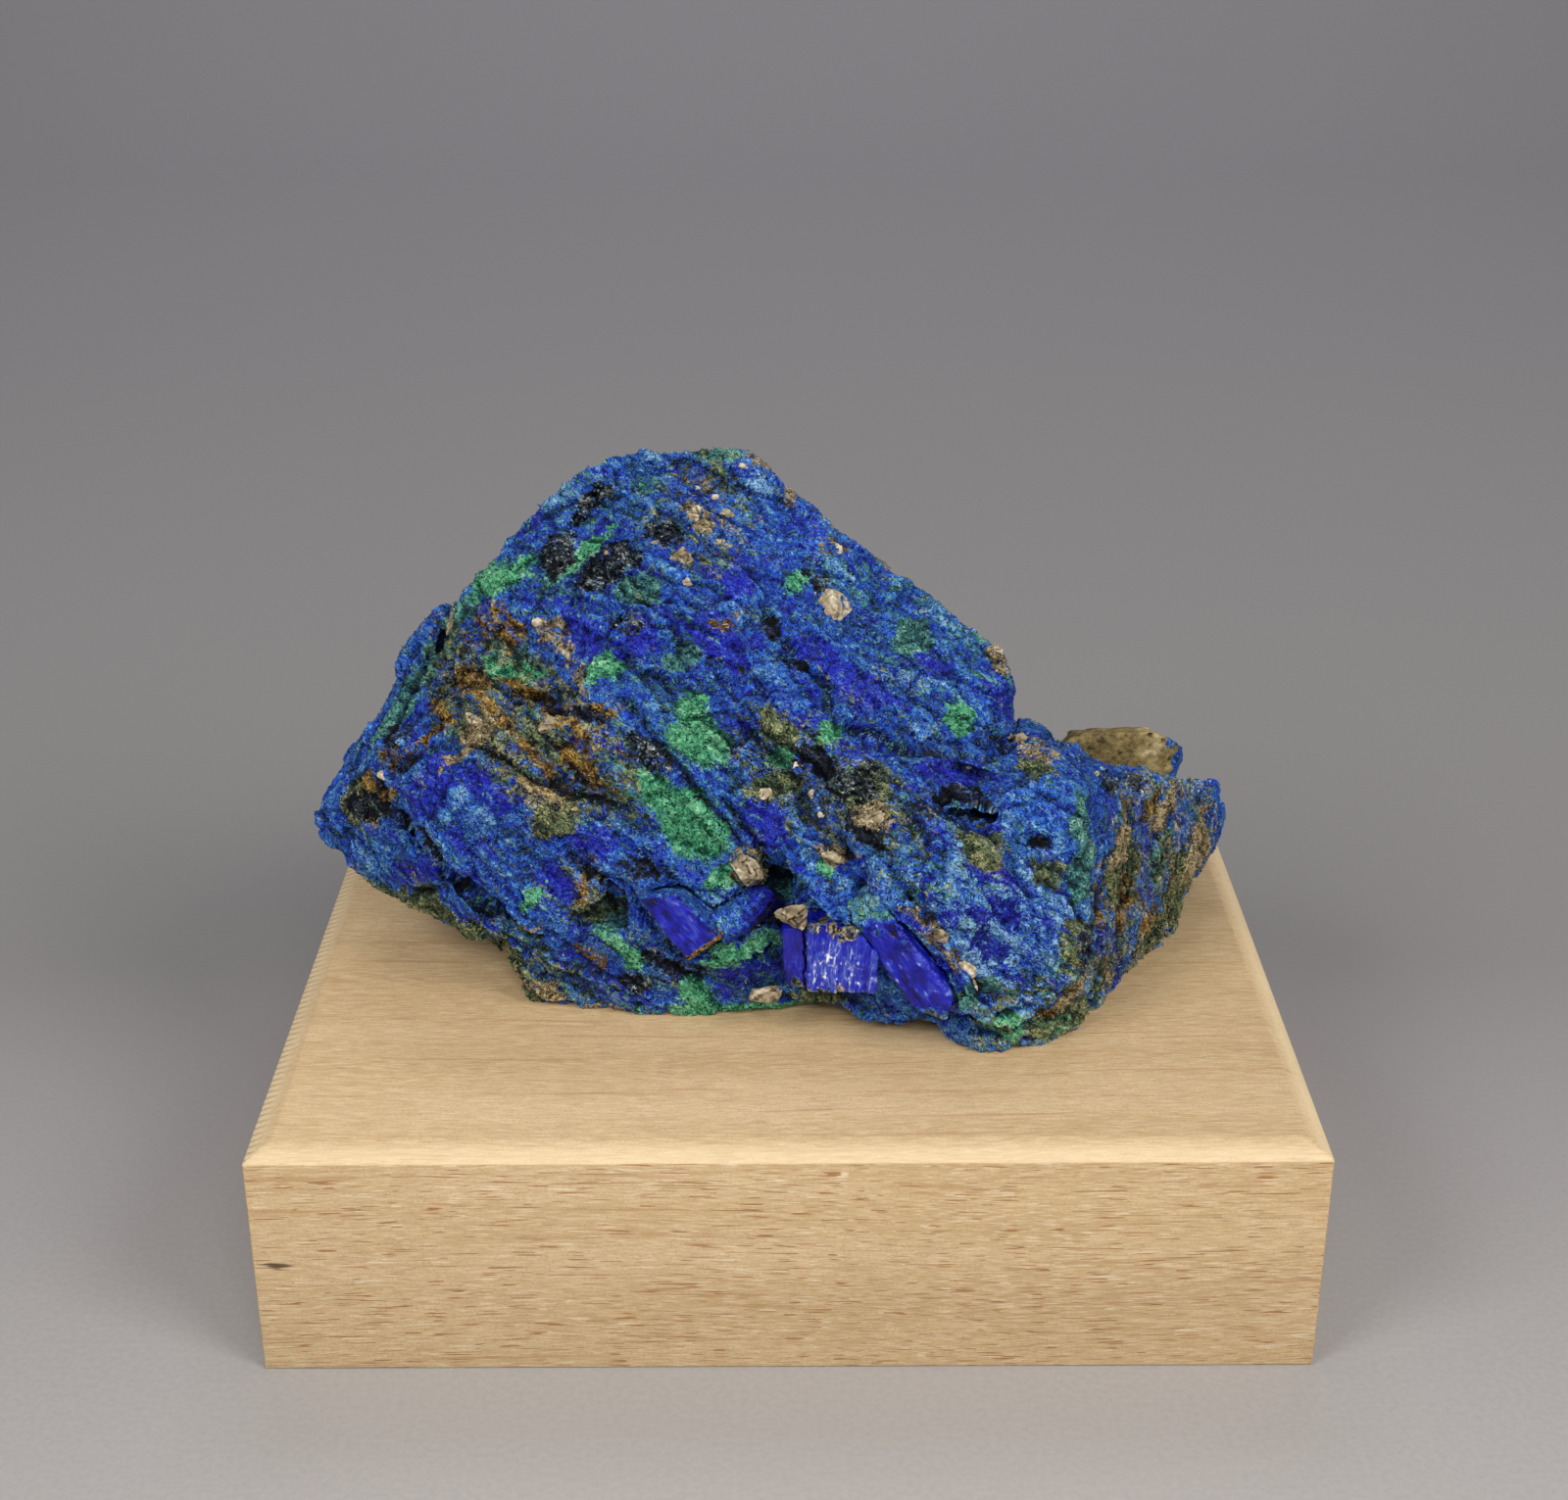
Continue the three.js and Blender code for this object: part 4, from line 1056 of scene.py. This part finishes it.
def long_sculpt(points, normals, share):
    """Fine lines along the crystal, and a felted blue-green cap of azurite at its upper end."""
    lay = along_grain(points, math.radians(-50))
    lines = drift(lay / (4, 0.5, 0.5), 45)
    flecks = np.clip(drift(lay / (0.9, 0.3, 0.3), 64) * 3 - 1.2, 0, 1)
    cap = np.clip((share[:, 2] - 0.7) * 6 + 0.8 * drift(points / 0.8, 46), 0, 1)
    foot = np.clip((0.16 - share[:, 2]) * 8 + 1.2 * drift(points / 0.7, 75), 0, 1)
    bare = 1 - np.maximum(cap, foot)
    shares = {
        "deep": 0.2 + 0.75 * bare, "light": 0.6 * cap, "teal": 0.1 + 0.42 * cap,
        "malachite": 0.1 + 0.25 * cap, "olive": 0.1 + 0.2 * cap + 0.4 * foot, "gangue": 0.3 * foot,
    }
    pale = 0.32 + 0.26 * lines + 0.4 * flecks + 0.1 * cap
    return lay, 0.12 * lines + 0.22 * cap * drift(points / 0.45, 47) + 0.05 * flecks, pale, shares


def blade_sculpt(points, normals, share):
    """A flat blade, with shallow growth steps and a rusty lower edge; its upward faces are paler, with an
    azure film and painted light.
    """
    lay = along_grain(points, math.radians(-42))
    growth = drift(lay / (3, 0.9, 0.9), 48)
    fine = drift(lay / (0.9, 0.35, 0.35), 65)
    # Paler on the faces that turn upward: an azure film, and painted light where they face the lamps.
    painted_top_light_and_film = np.clip(normals[:, 2] * 1.6 - 0.1 + 0.4 * fine, 0, 1)
    edge = share[:, 2] - 0.17 - 0.82 * (share[:, 0] - 0.53)
    rust = np.clip(1 - 9 * edge + 0.2 * fine, 0, 0.9) * (share[:, 0] > 0.5)
    painted_top_light_or_rust = (painted_top_light_and_film > 0.5) | (rust > 0.5)
    shares = {
        "deep": np.where(painted_top_light_or_rust, 0.4, 1.0), "black_and_painted_shade": 0.2,
        "light": 0.5 * painted_top_light_and_film, "limonite": rust, "teal": 0.3 * painted_top_light_and_film,
    }
    return lay, 0.12 * growth + 0.07 * fine, 0.4 + 0.24 * growth + 0.26 * fine + 0.08 * painted_top_light_and_film, shares


def wedge_sculpt(points, normals, share):
    """A thin plate, frosted with azurite on its upper left, its bare side painted darker as shade."""
    frost = np.clip(1.1 - 2.6 * (share[:, 0] - 0.5 * share[:, 2]) + 0.35 * drift(points / 0.7, 66), 0, 1)
    lay = along_grain(points, GRAIN_ANGLE)
    shares = {"deep": 1.0 - 0.6 * frost, "light": 0.5 * frost, "teal": 0.1 + 0.25 * frost}
    # The bare side is painted darker, as painted shade.
    pale = -0.4 + 0.8 * frost + 0.16 * drift(points / 0.6, 50)
    return lay, 0.2 * drift(points / 0.6, 49) * (0.4 + frost), pale, shares


def make_lump():
    """The lump of tan host rock: pitted, with azurite on its left corner and right side."""
    lump = merged_copy("matrix_lump", "host_rock_lump")
    lump = finely_meshed(lump, LUMP_MESH)
    points = smoothed(lump, surface(lump)[0], 2)
    set_points(lump, points)
    normals = surface(lump)[1]
    offset, chance, _ = packed_cells(points / 1.1, 51)
    reach = np.linalg.norm(offset, axis=1)
    pits = np.where(chance[:, 0] > 0.82, np.clip(0.42 - reach, 0, 1) * 1.5, 0)
    height = 0.22 * drift(points / 2.5, 52) + 0.1 * drift(points / 0.8, 53)
    height += 0.05 * drift(points / 0.4, 54) - pits
    share = in_own_box(points)
    ragged = 0.12 * drift(points, 55)
    blue = (share[:, 0] + ragged > 0.86) | (share[:, 0] + 0.55 * share[:, 2] + ragged < 0.34)
    height += np.where(blue, 0.16 * drift(points / 0.5, 56), 0)
    set_points(lump, keep_in_box(points + normals * height[:, None], "matrix_lump", 0.4))
    ridge = np.clip(1 - 8 * np.abs(share[:, 0] - 0.72 + 0.6 * ragged), 0, 1)
    specks = np.clip(drift(points / 0.35, 69) * 3 - 1.8, 0, 1)
    # The pits are painted darker, as painted shade in them.
    keep_on_mesh(
        lump, {"deep": 0.2, "light": 0.3, "teal": 0.3, "olive": 0.25}, lay=along_grain(points, 0),
        pale=0.36 + 0.1 * drift(points / 1.5, 57) + 0.4 * ridge - 0.4 * specks - 1.4 * pits,
        hollow=pits - 0.1, blade=packed_cells(points / 1.5, 62)[1],
    )
    give_materials(lump, TAN_ROCK, blue)
    finish_piece(lump, "host_rock", "matrix_lump")


# ---- the display block ----


def wood_material():
    """Rubberwood, sawn and sanded: pale straw with rusty pores and white flecks along the grain, faint growth
    bands, and a chamfer painted paler, as painted light where it turns up to the lamps."""
    wood = Finish("rubberwood_sanded")
    in_mm = wood.laid(wood.add("TexCoord")["Object"], (1 / MM,) * 3)
    bowed = wood.pushed(in_mm, wood.noise(in_mm, 0.012, 0.0, output="Color"), (0.0, 5.0, 5.0))
    textures = {}
    for name, length, width, detail in (
        ("pores", 3.4, 0.15, 0.0), ("flecks", 2.6, 0.15, 0.0), ("lines", 30.0, 0.7, 2.0),
        ("bands", 90.0, 6.0, 3.0), ("fibres", 2.0, 0.18, 1.0), ("nap", 0.3, 0.22, 1.0),
    ):
        laid = wood.laid(bowed, (1 / length, 1 / width, 1 / width), (length, width, 3.0))
        textures[name] = wood.noise(laid, 1.0, detail)
    facing = wood.split(wood.add("NewGeometry")["Normal"])
    sloped = wood.span(facing["Z"], 0.3, 0.5)
    chamfer_faces = wood.math("SUBTRACT", sloped, wood.span(facing["Z"], 0.9, 0.98))
    cut_end = wood.span(facing["X"], -0.2, -0.5)

    tone = wood.ramp(textures["bands"], (0.3, 0.5, 0.7), ("#bb9e75", "#c3a77d", "#ccb28b"))
    for name, start, full, strength, colour in (
        ("fibres", 0.4, 0.68, 0.6, "#e2caa2"), ("nap", 0.5, 0.68, 0.45, "#b8976c"),
        ("lines", 0.6, 0.72, 0.45, "#a97f52"), ("flecks", 0.68, 0.74, 0.4, "#f4ead2"),
        ("pores", 0.7, 0.735, 0.85, "#a06c3c"),
    ):
        shown = wood.span(textures[name], start, full, 0.0, strength)
        if name in ("pores", "flecks"):
            shown = wood.math("MULTIPLY", shown, wood.span(sloped, 0, 1, 1.0, 0.22))
        tone = wood.mix(shown, tone, colour)
    # The chamfer is painted paler: painted light.
    tone = wood.mix(wood.math("MULTIPLY", chamfer_faces, 0.5), tone, "#f4e0b8")

    # Slanting tool marks on the end grain of the chamfer.
    slant = wood.laid(in_mm, (1, 1, 1), rotation=(math.radians(-35), 0, 0))
    marks = wood.add("TexWave", {"Vector": slant, "Scale": 0.36, "Distortion": 1.2, "Detail": 1.0},
                     bands_direction="Y")["Fac"]
    marks = wood.math("MULTIPLY", wood.span(marks, 0.55, 0.9), cut_end)
    marks = wood.math("MULTIPLY", marks, chamfer_faces)
    tone = wood.mix(wood.math("MULTIPLY", marks, 0.45), tone, "#8a7258")

    # A sliver of bark left at the front's left end.
    low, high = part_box("display_block")
    knot = (low.x / MM + 2.2, low.y / MM, (low.z + high.z) / 2 / MM - 0.3)
    away = wood.add("VectorMath", {0: in_mm, 1: knot}, operation="SUBTRACT")["Vector"]
    away = wood.add("VectorMath", {0: away, 1: (0.5, 0.5, 1.9)}, operation="MULTIPLY")["Vector"]
    away = wood.add("VectorMath", {0: away}, operation="LENGTH")["Value"]
    away = wood.weighted(textures["fibres"], 1.6, away)
    tone = wood.mix(wood.span(away, 1.25, 1.7, 0.9, 0.0), tone, "#4a3524")

    relief = wood.math("SUBTRACT", textures["nap"], wood.span(textures["pores"], 0.71, 0.75))
    return wood.done({
        "Base Color": tone, "Roughness": wood.span(textures["fibres"], 0, 1, 0.55, 0.75),
        "Normal": wood.bump(wood.math("SUBTRACT", relief, marks), 0.1, 0.5), "IOR": 1.45,
    })


CHAMFER_WIDE, CHAMFER_HIGH = 2.3, 1.2  # mm, round the block's top


def make_block():
    """A sanded block with a hand-planed chamfer round its top."""
    low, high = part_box("display_block")
    points = []
    for height, inset in ((low.z, 0), (high.z - CHAMFER_HIGH * MM, 0), (high.z, CHAMFER_WIDE * MM)):
        left, right, front, back = low.x + inset, high.x - inset, low.y + inset, high.y - inset
        points += [(left, front, height), (right, front, height), (right, back, height), (left, back, height)]
    faces = [(3, 2, 1, 0), (8, 9, 10, 11)]
    for ring in (0, 4):
        for side in range(4):
            beside = (side + 1) % 4
            faces.append((ring + side, ring + beside, ring + 4 + beside, ring + 4 + side))
    block = put_in_scene("wood_block", mesh_of("wood_block", points, faces))
    apply_modifier(block, "BEVEL", width=0.3 * MM, segments=3, limit_method="ANGLE")
    block.data.materials.append(wood_material())
    bpy.ops.object.shade_smooth_by_angle(angle=math.radians(25))
    finish_piece(block, "block_wood", "display_block")


# ---- everything together ----

make_stage()
make_lights_and_camera()
make_block()
ore, crust = make_ore()
make_grains(ore, crust)
make_chips(ore, crust["seen"])
make_lump()
for habit, slot, sculpt in (
    ("striated", "glossy_azurite", striated_sculpt), ("long", "deep_azurite", long_sculpt),
    ("blade", "deep_azurite", blade_sculpt), ("wedge", "ore_crust", wedge_sculpt),
):
    make_crystal(f"{habit}_crystal", f"{habit}_azurite", slot, sculpt)
